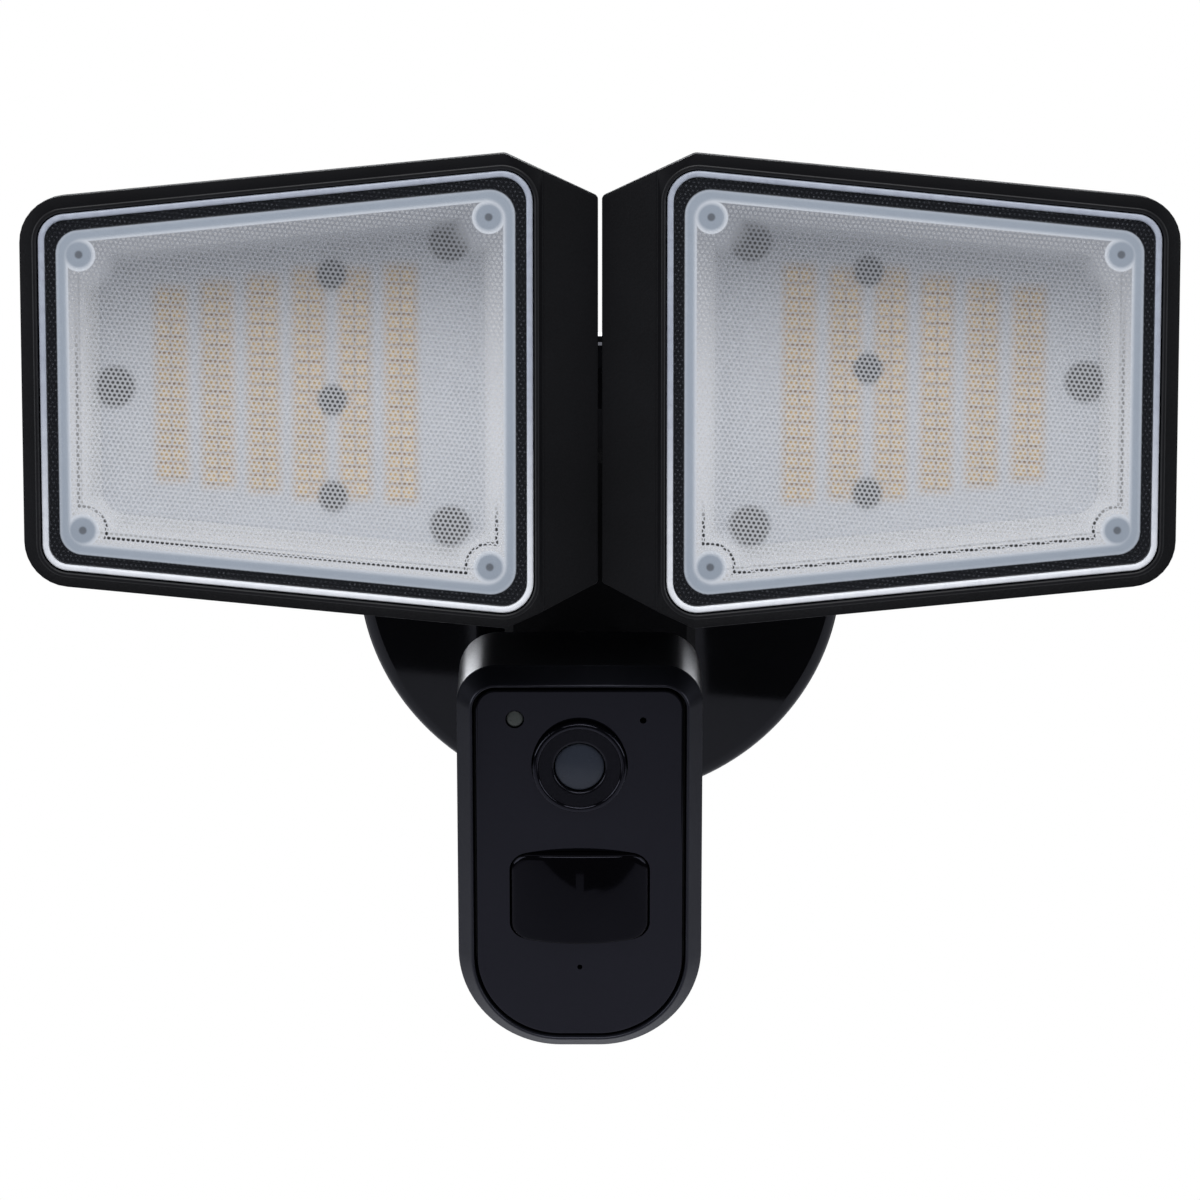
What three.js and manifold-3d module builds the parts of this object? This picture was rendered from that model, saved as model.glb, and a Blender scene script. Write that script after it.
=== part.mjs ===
// Wall-mounted floodlight security camera: round canopy, driver hub, two trapezoidal
// LED heads on swivel-and-tilt knuckles, and a pan-and-tilt camera pod.
// Millimetres, +Z up, +X to the right seen from the front, the wall at y = 0 and the
// object in front of it, towards -Y. Origin: centre of the wall mounting plane.
import * as THREE from 'three';
import { mergeVertices } from 'three/addons/utils/BufferGeometryUtils.js';
import { ConvexGeometry } from 'three/addons/geometries/ConvexGeometry.js';
import Module from 'manifold-3d';

const wasm = await Module();
wasm.setup();

// ---------------------------------------------------------------- dimensions
const GAP = 0.3;                    // clearance between neighbouring pieces

// wall plate
const CANOPY_R = 70.7, CANOPY_FRONT = -11, CANOPY_BACK = -2.8, CANOPY_WALL = 2.5, CANOPY_EDGE = 3.4;
const GASKET_IN = 57, GASKET_OUT = 69, GASKET_T = 2.5;
const BAR_HALF = 60, BAR_HALF_H = 9, BAR_T = 2.4;
const BOX_SCREW_X = 44.45;          // 3.5 in outlet box centres
const CANOPY_SCREW_X = 54.5;

// driver hub
const HUB_HALF_W = 27, HUB_Z0 = -40, HUB_Z1 = 50, HUB_BACK = -11.3, HUB_FRONT = -60, HUB_WALL = 2.6;
const BOSS_X = 52, BOSS_Y = -80, BOSS_R = 13, BOSS_Z0 = 28, BOSS_Z1 = 48;
const SPIGOT_R = 8.0, SPIGOT_BORE = 8.1;

// floodlight heads: face frame, x outwards from the centre plane, depth backwards
const HEAD_Y = -158, HEAD_Z = 93.9, HEAD_TILT = 9.5 * Math.PI / 180, HEAD_ROLL = 0;
const HEAD_DEPTH = 42, PIVOT_DEPTH = 54;
const HALF_AT = x => 63.8 - 0.0960 * x;     // half height of the casing at x
const APEX_X = 24.4, OUTER_X = 149.0, INNER_X = 0.5, INNER_H = 50.3, INNER_DEPTH = 9;
const RIM_X0 = 17.2, RIM_X1 = 144.0;        // lens rim
const RIM_HALF = x => 59.6 - 0.0985 * x;
const RIDGE = 1.5, BEVEL_DEPTH = 2.7;
const LENS_FRONT = 0.5, LENS_T = 2.6;
const BOARD_DEPTH = 26, BOARD_T = 1.6;
const STRIP_X = [52.2, 64.3, 76.3, 88.3, 100.3, 112.4];
const STRIP_LEN = [61.1, 59.1, 59.2, 55.4, 52.5, 49.5];
const BIG_SCREWS = [[39.4, 37.5], [39.4, -37.5], [127.3, 0.6]];
const SMALL_SCREWS = [[70.3, 29.6], [70.3, 4.2], [70.3, -28.8]];
const CORNER_POSTS = [[28.5, 45.2], [28.5, -45.2], [133.6, 35.6], [133.6, -35.6]];

// camera pod
const POD_X = -5.5, POD_FACE = -132, POD_ZC = -45.1;
const POD_HALF_W = 33.2, POD_HALF_H = 54.9, POD_DEPTH = 38, POD_CH_IN = 3.8, POD_CH_D = 5.6;
const POD_TOP_R = 10.7, POD_BOT_R = 28, PLATE_IN = 5.3;
const TURRET_Y = -70, TURRET_R = 9, TURRET_Z0 = -29.7, TURRET_Z1 = -8.3;
const POD_TILT_Y = -86, POD_TILT_Z = -19;
const LENS_UP = 28.4, LENS_RING_R = 12.7, LENS_RING_OUT = 2.4, GLASS_R = 6.65;
const LIGHT_X = -17.4, LIGHT_UP = 41.4, MIC_X = 17.1, MIC_UP = 41.1, MIC2_UP = -30.0;
const PIR_UP = -9.3, PIR_HALF_W = 18.75, PIR_HALF_H = 12.8, PIR_BULGE = 3.8;

// ---------------------------------------------------------------- solids
const M = new THREE.Matrix4();
function solid(geometry) {
  let g = geometry.clone();
  g.deleteAttribute('normal');
  g.deleteAttribute('uv');
  g = mergeVertices(g, 1e-4);
  const p = g.attributes.position, ix = g.index.array, tri = [];
  let vol = 0;
  const a = new THREE.Vector3(), b = new THREE.Vector3(), c = new THREE.Vector3();
  for (let i = 0; i < ix.length; i += 3) {
    if (ix[i] === ix[i + 1] || ix[i + 1] === ix[i + 2] || ix[i] === ix[i + 2]) continue;
    tri.push(ix[i], ix[i + 1], ix[i + 2]);
    a.fromBufferAttribute(p, ix[i]); b.fromBufferAttribute(p, ix[i + 1]); c.fromBufferAttribute(p, ix[i + 2]);
    vol += a.dot(b.cross(c));
  }
  if (vol < 0) for (let i = 0; i < tri.length; i += 3) [tri[i + 1], tri[i + 2]] = [tri[i + 2], tri[i + 1]];
  return new wasm.Manifold(new wasm.Mesh({
    numProp: 3, vertProperties: new Float32Array(p.array), triVerts: new Uint32Array(tri),
  }));
}
function geometryOf(manifold) {
  const m = manifold.getMesh();
  const n = m.numProp, verts = new Float32Array(m.vertProperties.length / n * 3);
  for (let i = 0; i < verts.length / 3; i++) for (let k = 0; k < 3; k++) verts[i * 3 + k] = m.vertProperties[i * n + k];
  const g = new THREE.BufferGeometry();
  g.setAttribute('position', new THREE.BufferAttribute(verts, 3));
  g.setIndex(new THREE.BufferAttribute(new Uint32Array(m.triVerts), 1));
  g.computeVertexNormals();
  return g;
}
const join = (...parts) => parts.reduce((a, b) => a.add(b));
const cut = (a, ...tools) => tools.reduce((x, t) => x.subtract(t), a);

// closed outline with rounded corners: list of [x, z, r]
function outline(corners, steps = 5) {
  const n = corners.length, out = [];
  for (let i = 0; i < n; i++) {
    const [x, z, r = 0] = corners[i];
    const p = new THREE.Vector2(x, z);
    const a = new THREE.Vector2(corners[(i + n - 1) % n][0], corners[(i + n - 1) % n][1]).sub(p).normalize();
    const b = new THREE.Vector2(corners[(i + 1) % n][0], corners[(i + 1) % n][1]).sub(p).normalize();
    if (r <= 0) { out.push([x, z]); continue; }
    const half = Math.acos(THREE.MathUtils.clamp(a.dot(b), -1, 1)) / 2;
    const c = a.clone().add(b).normalize().multiplyScalar(r / Math.sin(half)).add(p);
    const t = r / Math.tan(half);
    const s = a.clone().multiplyScalar(t).add(p).sub(c), e = b.clone().multiplyScalar(t).add(p).sub(c);
    const a0 = Math.atan2(s.y, s.x);
    let da = Math.atan2(e.y, e.x) - a0;
    while (da > Math.PI) da -= 2 * Math.PI;
    while (da < -Math.PI) da += 2 * Math.PI;
    for (let k = 0; k <= steps; k++) out.push([c.x + r * Math.cos(a0 + da * k / steps), c.y + r * Math.sin(a0 + da * k / steps)]);
  }
  return out;
}
const shapeOf = pts => new THREE.Shape(pts.map(([x, z]) => new THREE.Vector2(x, z)));
// outline in x,z pulled from y0 to y1
function prismY(pts, y0, y1) {
  const g = new THREE.ExtrudeGeometry(shapeOf(pts), { depth: y1 - y0, bevelEnabled: false, curveSegments: 12 });
  g.rotateX(Math.PI / 2); g.translate(0, y1, 0);
  return solid(g);
}
// outline in y,z pulled from x0 to x1
function prismX(pts, x0, x1) {
  const g = new THREE.ExtrudeGeometry(shapeOf(pts), { depth: x1 - x0, bevelEnabled: false });
  g.applyMatrix4(M.makeBasis(new THREE.Vector3(0, 1, 0), new THREE.Vector3(0, 0, 1), new THREE.Vector3(1, 0, 0)));
  g.translate(x0, 0, 0);
  return solid(g);
}
// outline in x,y pulled from z0 to z1
function prismZ(pts, z0, z1) {
  const g = new THREE.ExtrudeGeometry(shapeOf(pts), { depth: z1 - z0, bevelEnabled: false });
  g.translate(0, 0, z0);
  return solid(g);
}
function box(x0, x1, y0, y1, z0, z1) {
  const g = new THREE.BoxGeometry(x1 - x0, y1 - y0, z1 - z0);
  g.translate((x0 + x1) / 2, (y0 + y1) / 2, (z0 + z1) / 2);
  return solid(g);
}
function cylY(r, y0, y1, x = 0, z = 0, seg = 24, r2 = r) {
  const g = new THREE.CylinderGeometry(r2, r, y1 - y0, seg);   // r at y0, r2 at y1
  g.translate(x, (y0 + y1) / 2, z);
  return solid(g);
}
function cylX(r, x0, x1, y, z, seg = 24) {
  const g = new THREE.CylinderGeometry(r, r, x1 - x0, seg);
  g.rotateZ(Math.PI / 2); g.translate((x0 + x1) / 2, y, z);
  return solid(g);
}
function cylZ(r, z0, z1, x, y, seg = 32) {
  const g = new THREE.CylinderGeometry(r, r, z1 - z0, seg);
  g.rotateX(Math.PI / 2); g.translate(x, y, (z0 + z1) / 2);
  return solid(g);
}
// profile of [radius, y] turned about the Y axis through (x, z)
function latheY(profile, x = 0, z = 0, seg = 32) {
  const pts = profile.map(([r, y]) => new THREE.Vector2(r, y));
  if (profile[0][0] > 1e-6) pts.push(pts[0].clone());
  const g = new THREE.LatheGeometry(pts, seg);
  g.translate(x, 0, z);
  return solid(g);
}
// convex solid through rings of [x, z] points at the given depths
function loft(rings) {
  const pts = [];
  for (const [ring, y] of rings) for (const [x, z] of ring) pts.push(new THREE.Vector3(x, y, z));
  return solid(new ConvexGeometry(pts));
}
const hullOf = pts => solid(new ConvexGeometry(pts.map(p => new THREE.Vector3(...p))));
const cylPoints = (r, z0, z1, x, y, seg = 24) => {
  const out = [];
  for (let i = 0; i < seg; i++) {
    const a = 2 * Math.PI * i / seg;
    out.push([x + r * Math.cos(a), y + r * Math.sin(a), z0], [x + r * Math.cos(a), y + r * Math.sin(a), z1]);
  }
  return out;
};
const boxPoints = (x0, x1, y0, y1, z0, z1) => [x0, x1].flatMap(x => [y0, y1].flatMap(y => [z0, z1].map(z => [x, y, z])));

// ---------------------------------------------------------------- scene graph
const group = new THREE.Group();
const finish = {
  matte:    { color: 0x17171a, roughness: 0.72, metalness: 0 },
  satin:    { color: 0x1b1c21, roughness: 0.42, metalness: 0 },
  gloss:    { color: 0x0b0b0e, roughness: 0.08, metalness: 0 },
  rubber:   { color: 0x1e1e20, roughness: 0.9, metalness: 0 },
  steel:    { color: 0xa9abad, roughness: 0.35, metalness: 1 },
  blacksteel: { color: 0x25262a, roughness: 0.4, metalness: 0.9 },
  lens:     { color: 0xdfe3ea, roughness: 0.3, metalness: 0 },
  white:    { color: 0xe8e8e6, roughness: 0.5, metalness: 0 },
  led:      { color: 0xf0e2c4, roughness: 0.5, metalness: 0 },
  pcb:      { color: 0x1d5a38, roughness: 0.5, metalness: 0 },
  glass:    { color: 0x2c3340, roughness: 0.05, metalness: 0 },
};
function piece(parent, name, manifold, look) {
  const mesh = new THREE.Mesh(geometryOf(manifold), new THREE.MeshStandardMaterial(finish[look]));
  mesh.name = name;
  parent.add(mesh);
  return mesh;
}

// ---------------------------------------------------------------- wall mount
{
  const wall = new THREE.Group(); group.add(wall);
  piece(wall, 'wall_gasket', latheY([[GASKET_IN, -GASKET_T], [GASKET_OUT, -GASKET_T], [GASKET_OUT, 0], [GASKET_IN, 0]], 0, 0, 36), 'rubber');

  // crossbar: its ends pass under the gasket's inner edge, so it is cut to the gasket bore
  const BAR_END = GASKET_IN - 0.6;
  let bar = prismY(outline([[-BAR_END, -BAR_HALF_H, 5], [BAR_END, -BAR_HALF_H, 5], [BAR_END, BAR_HALF_H, 5], [-BAR_END, BAR_HALF_H, 5]], 3), -BAR_T, 0);
  bar = bar.intersect(latheY([[0, -BAR_T - 1], [BAR_END, -BAR_T - 1], [BAR_END, 1], [0, 1]], 0, 0, 36));
  const slot = (x, r, half) => join(cylY(r, -4, 1, x - half, 0, 12), cylY(r, -4, 1, x + half, 0, 12), box(x - half, x + half, -4, 1, -r, r));
  for (const s of [-1, 1]) {
    bar = cut(bar, slot(s * (BOX_SCREW_X - 2.5), 2.6, 3.6));
    bar = cut(bar, cylY(2.1, -4, 1, s * (CANOPY_SCREW_X - 2.3), 0, 12));
    bar = cut(bar, slot(s * 24, 2.4, 6));
  }
  piece(wall, 'crossbar', bar, 'steel');
  for (const [s, side] of [[-1, 'left'], [1, 'right']]) {
    const head = latheY([[0, -5.4], [2.6, -5.4], [4.3, -4.3], [4.3, -BAR_T - GAP], [2.1, -BAR_T - GAP], [2.1, -0.1], [0, -0.1]], s * (BOX_SCREW_X - 2.5), 0, 12);
    piece(wall, `box_screw_${side}`, head, 'steel');
  }

  // canopy: shallow dish with a rounded edge, open at the back
  const e = CANOPY_EDGE, w = CANOPY_WALL, arc = [];
  for (let k = 0; k <= 4; k++) {
    const a = Math.PI / 2 * k / 4;
    arc.push([CANOPY_R - e + e * Math.sin(a), CANOPY_FRONT + e - e * Math.cos(a)]);
  }
  let canopy = latheY([[11, CANOPY_FRONT], ...arc, [CANOPY_R, CANOPY_BACK], [CANOPY_R - w, CANOPY_BACK], [CANOPY_R - w, CANOPY_FRONT + w], [11, CANOPY_FRONT + w]], 0, 0, 48);
  const CSX = CANOPY_SCREW_X - 2.3;
  for (const s of [-1, 1]) {
    canopy = join(canopy, cylY(4.6, CANOPY_FRONT + w - 0.1, -BAR_T - 1.6, s * CSX, 0, 16));
    canopy = cut(canopy, cylY(2.2, -20, 0, s * CSX, 0, 12));
  }
  piece(wall, 'canopy', canopy, 'gloss');
  for (const [s, side] of [[-1, 'left'], [1, 'right']]) {
    const y = CANOPY_FRONT - GAP;
    const screw = latheY([[0, y - 2.6], [2.6, y - 2.4], [3.9, y - 1.4], [3.9, y], [1.8, y], [1.8, -0.6], [0, -0.6]], s * CSX, 0, 12);
    piece(wall, `canopy_screw_${side}`, screw, 'blacksteel');
  }

  // grommet in the canopy's centre hole, where the supply leads pass into the hub
  piece(wall, 'wire_grommet', latheY([[5, -14.5], [10.5, -14.5], [10.5, -8.0], [13.2, -8.0], [13.2, -6.0], [5, -6.0]], 0, 0, 16), 'rubber');

  // hub: box-section housing for the driver, open at the back against the canopy
  const hubOut = outline([[-HUB_HALF_W, HUB_Z0, 12], [HUB_HALF_W, HUB_Z0, 12], [HUB_HALF_W, HUB_Z1, 12], [-HUB_HALF_W, HUB_Z1, 12]], 5);
  const shrink = (d) => outline([[-HUB_HALF_W + d, HUB_Z0 + d, 12 - d], [HUB_HALF_W - d, HUB_Z0 + d, 12 - d], [HUB_HALF_W - d, HUB_Z1 - d, 12 - d], [-HUB_HALF_W + d, HUB_Z1 - d, 12 - d]], 5);
  let hub = loft([[shrink(2.5), HUB_FRONT], [hubOut, HUB_FRONT + 2.5], [hubOut, HUB_BACK]]);
  for (const s of [-1, 1]) {
    hub = join(hub, hullOf([
      ...boxPoints(s * 18, s * (HUB_HALF_W - 1), -56, -30, 22, HUB_Z1 - 4),
      ...cylPoints(BOSS_R, BOSS_Z0, BOSS_Z1, s * BOSS_X, BOSS_Y, 24),
    ]));
  }
  // ears that hold the camera turret
  for (const [z0, z1] of [[TURRET_Z0 - GAP - 6, TURRET_Z0 - GAP], [TURRET_Z1 + GAP, TURRET_Z1 + GAP + 6]]) {
    hub = join(hub, hullOf([...boxPoints(POD_X - 12, POD_X + 12, HUB_FRONT, HUB_FRONT + 3, z0, z1), ...cylPoints(9.5, z0, z1, POD_X, TURRET_Y, 24)]));
  }
  hub = cut(hub, loft([[shrink(HUB_WALL + 1), HUB_FRONT + HUB_WALL], [shrink(HUB_WALL), HUB_BACK + 1]]));
  for (const s of [-1, 1]) {
    hub = cut(hub,
      cylZ(SPIGOT_BORE, BOSS_Z0 - 5, BOSS_Z1 + 5, s * BOSS_X, BOSS_Y, 24),
      cylZ(10.6, BOSS_Z0 - 5, BOSS_Z0 + 4.6, s * BOSS_X, BOSS_Y, 24));
  }
  hub = cut(hub, cylZ(2.6, -45, 5, POD_X, TURRET_Y, 16));
  piece(wall, 'hub_housing', hub, 'matte');

  // driver board with its transformer, capacitor and terminal block
  let board = box(-22, 22, -30, -28.4, -32, 42);
  board = join(board, box(-20, 2, -47, -29, 6, 32), cylY(7, -46, -29, 13, 22, 16), box(-18, 12, -40, -29, -28, -16), box(-20, 20, -33, -29, -8, -2));
  piece(wall, 'driver_board', board, 'pcb');
}

// ---------------------------------------------------------------- head knuckles
const TILT_Y = HEAD_Y + PIVOT_DEPTH * Math.cos(HEAD_TILT), TILT_Z = HEAD_Z - PIVOT_DEPTH * Math.sin(HEAD_TILT);
for (const [s, side] of [[-1, 'left'], [1, 'right']]) {
  const arms = new THREE.Group(); group.add(arms);
  const x = s * BOSS_X;
  const eye = (r, x0, x1) => cylX(r, x0, x1, TILT_Y, TILT_Z, 16);
  let arm = join(
    cylZ(SPIGOT_R, BOSS_Z0 + 1.2, BOSS_Z1 + 1, x, BOSS_Y, 24),
    cylZ(12.4, BOSS_Z1 + GAP, BOSS_Z1 + 4, x, BOSS_Y, 24),
    hullOf([...boxPoints(x - 7, x + 7, BOSS_Y - 8, BOSS_Y + 8, BOSS_Z1 + 3.5, BOSS_Z1 + 5),
            ...boxPoints(x - 4.4, x + 4.4, TILT_Y + 6, TILT_Y + 14, TILT_Z - 22, TILT_Z - 14)]),
    hullOf([...boxPoints(x - 4.4, x + 4.4, TILT_Y + 6, TILT_Y + 14, TILT_Z - 22, TILT_Z - 14),
            ...Array.from({ length: 16 }, (_, i) => i * Math.PI / 8).flatMap(a => [x - 4.4, x + 4.4].map(px => [px, TILT_Y + 8 * Math.cos(a), TILT_Z + 8 * Math.sin(a)]))]));
  arm = cut(arm, eye(3.1, x - 12, x + 12));
  // groove for the retaining ring
  arm = cut(arm, latheZRing(6.6, 9.5, BOSS_Z0 + 2.4, BOSS_Z0 + 4.2, x, BOSS_Y));
  piece(arms, `swivel_arm_${side}`, arm, 'matte');
  piece(arms, `retaining_ring_${side}`, cut(cylZ(10.0, BOSS_Z0 + 2.7, BOSS_Z0 + 3.9, x, BOSS_Y, 16), cylZ(7.0, BOSS_Z0, BOSS_Z0 + 6, x, BOSS_Y, 16), box(x - 2.5, x + 2.5, BOSS_Y - 14, BOSS_Y, BOSS_Z0, BOSS_Z0 + 6)), 'steel');
}
function latheZRing(r0, r1, z0, z1, x, y) {
  return cut(cylZ(r1, z0, z1, x, y, 24), cylZ(r0, z0 - 1, z1 + 1, x, y, 24));
}

// ---------------------------------------------------------------- floodlight heads
const RING = (x0, x1, half, r0, r1, steps = 4) => outline([[x0, -half(x0), r0], [x1, -half(x1), r1], [x1, half(x1), r1], [x0, half(x0), r0]], steps);
for (const [s, side] of [[-1, 'left'], [1, 'right']]) {
  const aim = new THREE.Group();            // tilted face frame
  aim.position.set(0, HEAD_Y, HEAD_Z);
  aim.rotation.x = -HEAD_TILT;
  group.add(aim);
  const face = new THREE.Group();           // the left head is the right one turned upside down
  face.rotation.y = s > 0 ? HEAD_ROLL : Math.PI - HEAD_ROLL;
  aim.add(face);

  // outer skin: front ridge, bevel, six-sided waist with the sloped inner wall, drafted back
  const ridge = RING(RIM_X0 - RIDGE, RIM_X1 + RIDGE, x => RIM_HALF(x) + RIDGE, 9.5, 8.5, 5);
  const waist = outline([[APEX_X - 10, -HALF_AT(APEX_X) + 4.6, 2], [APEX_X, -HALF_AT(APEX_X), 3], [OUTER_X, -HALF_AT(OUTER_X), 12], [OUTER_X, HALF_AT(OUTER_X), 12], [APEX_X, HALF_AT(APEX_X), 3], [APEX_X - 10, HALF_AT(APEX_X) - 4.6, 2]], 5);
  const hex = (d, extra = 0) => outline([[INNER_X + d, -INNER_H + d * 0.6, 1.5], [APEX_X + d * 0.2, -HALF_AT(APEX_X) + d, 3], [OUTER_X - d, -HALF_AT(OUTER_X) + d, 12], [OUTER_X - d, HALF_AT(OUTER_X) - d, 12], [APEX_X + d * 0.2, HALF_AT(APEX_X) - d, 3], [INNER_X + d, INNER_H - d * 0.6, 1.5]], 5);
  let shell = loft([[ridge, 0], [waist, BEVEL_DEPTH], [hex(0), INNER_DEPTH], [hex(3.2), HEAD_DEPTH - 3], [hex(6.0), HEAD_DEPTH]]);
  // lens seat and inner cavity
  const seat = RING(RIM_X0 - 0.35, RIM_X1 + 0.35, x => RIM_HALF(x) + 0.35, 8.35, 7.35, 5);
  shell = cut(shell, prismY(seat, -2, LENS_FRONT + LENS_T + 1.4));
  const mouth = RING(RIM_X0 + 3.0, RIM_X1 - 3.0, x => RIM_HALF(x) - 3.0, 5, 4.5, 4);
  shell = cut(shell, loft([[mouth, LENS_FRONT + LENS_T + 1.0], [hex(3.4), INNER_DEPTH + 1], [hex(6.2), HEAD_DEPTH - 5], [hex(9), HEAD_DEPTH - 2.6]]));
  // cable hole behind the knuckle bracket
  shell = cut(shell, cylY(3.5, HEAD_DEPTH - 6, HEAD_DEPTH + 2, BOSS_X, 0, 16));
  piece(face, `head_housing_${side}`, shell, 'matte');

  // gasket under the lens flange
  const seal = cut(prismY(RING(RIM_X0, RIM_X1, RIM_HALF, 8, 7, 5), LENS_FRONT + LENS_T + GAP, LENS_FRONT + LENS_T + 1.1),
    prismY(RING(RIM_X0 + 2.6, RIM_X1 - 2.6, x => RIM_HALF(x) - 2.6, 5.4, 4.9, 5), 0, 10));
  piece(face, `lens_gasket_${side}`, seal, 'rubber');

  // lens: flat flange with a raised rim and a slightly raised window
  let lens = prismY(RING(RIM_X0, RIM_X1, RIM_HALF, 8, 7, 5), LENS_FRONT, LENS_FRONT + LENS_T);
  lens = cut(lens, cut(prismY(RING(RIM_X0 + 1.5, RIM_X1 - 1.5, x => RIM_HALF(x) - 1.5, 6.5, 5.5, 4), -1, LENS_FRONT + 0.7),
    prismY(RING(RIM_X0 + 3.9, RIM_X1 - 3.9, x => RIM_HALF(x) - 3.9, 5, 4.5, 4), -2, LENS_FRONT + 2)));
  piece(face, `head_lens_${side}`, lens, 'lens');

  // reflector: white tray with sloped walls, corner cut-outs round the posts
  const R0 = 4.3, RB = 10.4;
  const tOut = RING(RIM_X0 + R0, RIM_X1 - R0, x => RIM_HALF(x) - R0, 4.5, 4, 3);
  const bOut = RING(RIM_X0 + RB, RIM_X1 - RB, x => RIM_HALF(x) - RB, 4.5, 4, 3);
  const tIn = RING(RIM_X0 + R0 + 1.4, RIM_X1 - R0 - 1.4, x => RIM_HALF(x) - R0 - 1.4, 4, 3.5, 3);
  const bIn = RING(RIM_X0 + RB + 1.4, RIM_X1 - RB - 1.4, x => RIM_HALF(x) - RB - 1.4, 4, 3.5, 3);
  let tray = cut(loft([[tOut, LENS_FRONT + LENS_T + 1.7], [bOut, BOARD_DEPTH - GAP]]), loft([[tIn, LENS_FRONT + LENS_T + 1.5], [bIn, BOARD_DEPTH + 0.1]]));
  for (const [px, pz] of CORNER_POSTS) tray = cut(tray, cylY(6.0, 2, 12.5, px, pz, 16));
  for (const [px, pz] of CORNER_POSTS) {
    const cup = cut(cylY(7.2, 11.4, 12.6, px, pz, 16).intersect(loft([[tOut, LENS_FRONT + LENS_T + 1.7], [bOut, BOARD_DEPTH - GAP]])), cylY(2.2, 10, 14, px, pz, 8));
    tray = join(tray, cup);
  }
  piece(face, `reflector_${side}`, tray, 'white');

  // LED board with six columns of emitters
  let leds = prismY(RING(RIM_X0 + RB - 1.6, RIM_X1 - RB + 1.6, x => RIM_HALF(x) - RB + 1.6, 5, 4.5, 3), BOARD_DEPTH, BOARD_DEPTH + BOARD_T);
  STRIP_X.forEach((x, i) => { leds = join(leds, box(x - 2.6, x + 2.6, BOARD_DEPTH - 1.1, BOARD_DEPTH + 0.2, -STRIP_LEN[i] / 2, STRIP_LEN[i] / 2)); });
  for (const [px, pz] of BIG_SCREWS) leds = cut(leds, cylY(2.3, BOARD_DEPTH - 4, BOARD_DEPTH + 4, px, pz, 12));
  for (const [px, pz] of SMALL_SCREWS) leds = cut(leds, cylY(1.8, BOARD_DEPTH - 4, BOARD_DEPTH + 4, px, pz, 12));
  piece(face, `led_board_${side}`, leds, 'led');

  const screw = (px, pz, rh, rs, t, len) => {
    const y = BOARD_DEPTH - GAP;
    const body = latheY([[0, y - t], [rh * 0.6, y - t], [rh, y - t * 0.5], [rh, y], [rs, y], [rs, y + len], [0, y + len]], px, pz, 12);
    return body;
  };
  BIG_SCREWS.forEach(([px, pz], i) => piece(face, `reflector_screw_${side}_${i + 1}`, screw(px, pz, 4.4, 2.0, 2.6, 9), 'steel'));
  SMALL_SCREWS.forEach(([px, pz], i) => piece(face, `board_screw_${side}_${i + 1}`, screw(px, pz, 3.1, 1.5, 2.0, 7), 'steel'));

  // knuckle bracket behind the housing, tilt bolt and nut (not rolled with the face)
  const bx = s * BOSS_X, y0 = HEAD_DEPTH + GAP + 0.1;
  const earPts = (x0, x1) => hullOf([...boxPoints(x0, x1, y0, y0 + 2.5, -9, 9),
    ...Array.from({ length: 16 }, (_, i) => i * Math.PI / 8).flatMap(a => [x0, x1].map(px => [px, PIVOT_DEPTH + 7.6 * Math.cos(a), 7.6 * Math.sin(a)]))]);
  let bracket = join(prismY(outline([[bx - 17, -14, 4], [bx + 17, -14, 4], [bx + 17, 14, 4], [bx - 17, 14, 4]], 3), y0, y0 + 2.6), earPts(bx - 9.4, bx - 4.8), earPts(bx + 4.8, bx + 9.4));
  bracket = cut(bracket, cylX(3.1, bx - 14, bx + 14, PIVOT_DEPTH, 0, 16));
  for (const [hx, hz] of [[-13, -10], [13, -10], [-13, 10], [13, 10]]) bracket = cut(bracket, cylY(1.6, y0 - 1, y0 + 4, bx + hx, hz, 8));
  piece(aim, `head_bracket_${side}`, bracket, 'matte');
  const bolt = s > 0
    ? join(cylX(3.0, bx - 13.6, bx + 10, PIVOT_DEPTH, 0, 16), cylX(5.4, bx + 9.7, bx + 13.2, PIVOT_DEPTH, 0, 6))
    : join(cylX(3.0, bx - 10, bx + 13.6, PIVOT_DEPTH, 0, 16), cylX(5.4, bx - 13.2, bx - 9.7, PIVOT_DEPTH, 0, 6));
  piece(aim, `tilt_bolt_${side}`, bolt, 'blacksteel');
  const nx = s > 0 ? [bx - 13.2, bx - 9.7] : [bx + 9.7, bx + 13.2];
  piece(aim, `tilt_nut_${side}`, cut(cylX(5.6, nx[0], nx[1], PIVOT_DEPTH, 0, 6), cylX(3.25, nx[0] - 1, nx[1] + 1, PIVOT_DEPTH, 0, 16)), 'blacksteel');
}

// ---------------------------------------------------------------- camera turret
{
  const turret = new THREE.Group(); group.add(turret);
  const x = POD_X;
  let t = cylZ(TURRET_R, TURRET_Z0, TURRET_Z1, x, TURRET_Y, 28);
  t = join(t, hullOf([...boxPoints(x - 3.9, x + 3.9, TURRET_Y - 4, TURRET_Y, POD_TILT_Z - 7, POD_TILT_Z + 7),
    ...Array.from({ length: 16 }, (_, i) => i * Math.PI / 8).flatMap(a => [x - 3.9, x + 3.9].map(px => [px, POD_TILT_Y + 6.6 * Math.cos(a), POD_TILT_Z + 6.6 * Math.sin(a)]))]));
  t = cut(t, cylZ(2.6, -45, 5, x, TURRET_Y, 16), cylX(2.6, x - 9, x + 9, POD_TILT_Y, POD_TILT_Z, 16));
  piece(turret, 'camera_turret', t, 'matte');
  piece(turret, 'camera_pan_pin', join(cylZ(2.5, TURRET_Z0 - 7.5, TURRET_Z1 + 7.5, x, TURRET_Y, 16), cylZ(4, TURRET_Z1 + 6.6, TURRET_Z1 + 8.4, x, TURRET_Y, 16)), 'steel');
}

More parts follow.
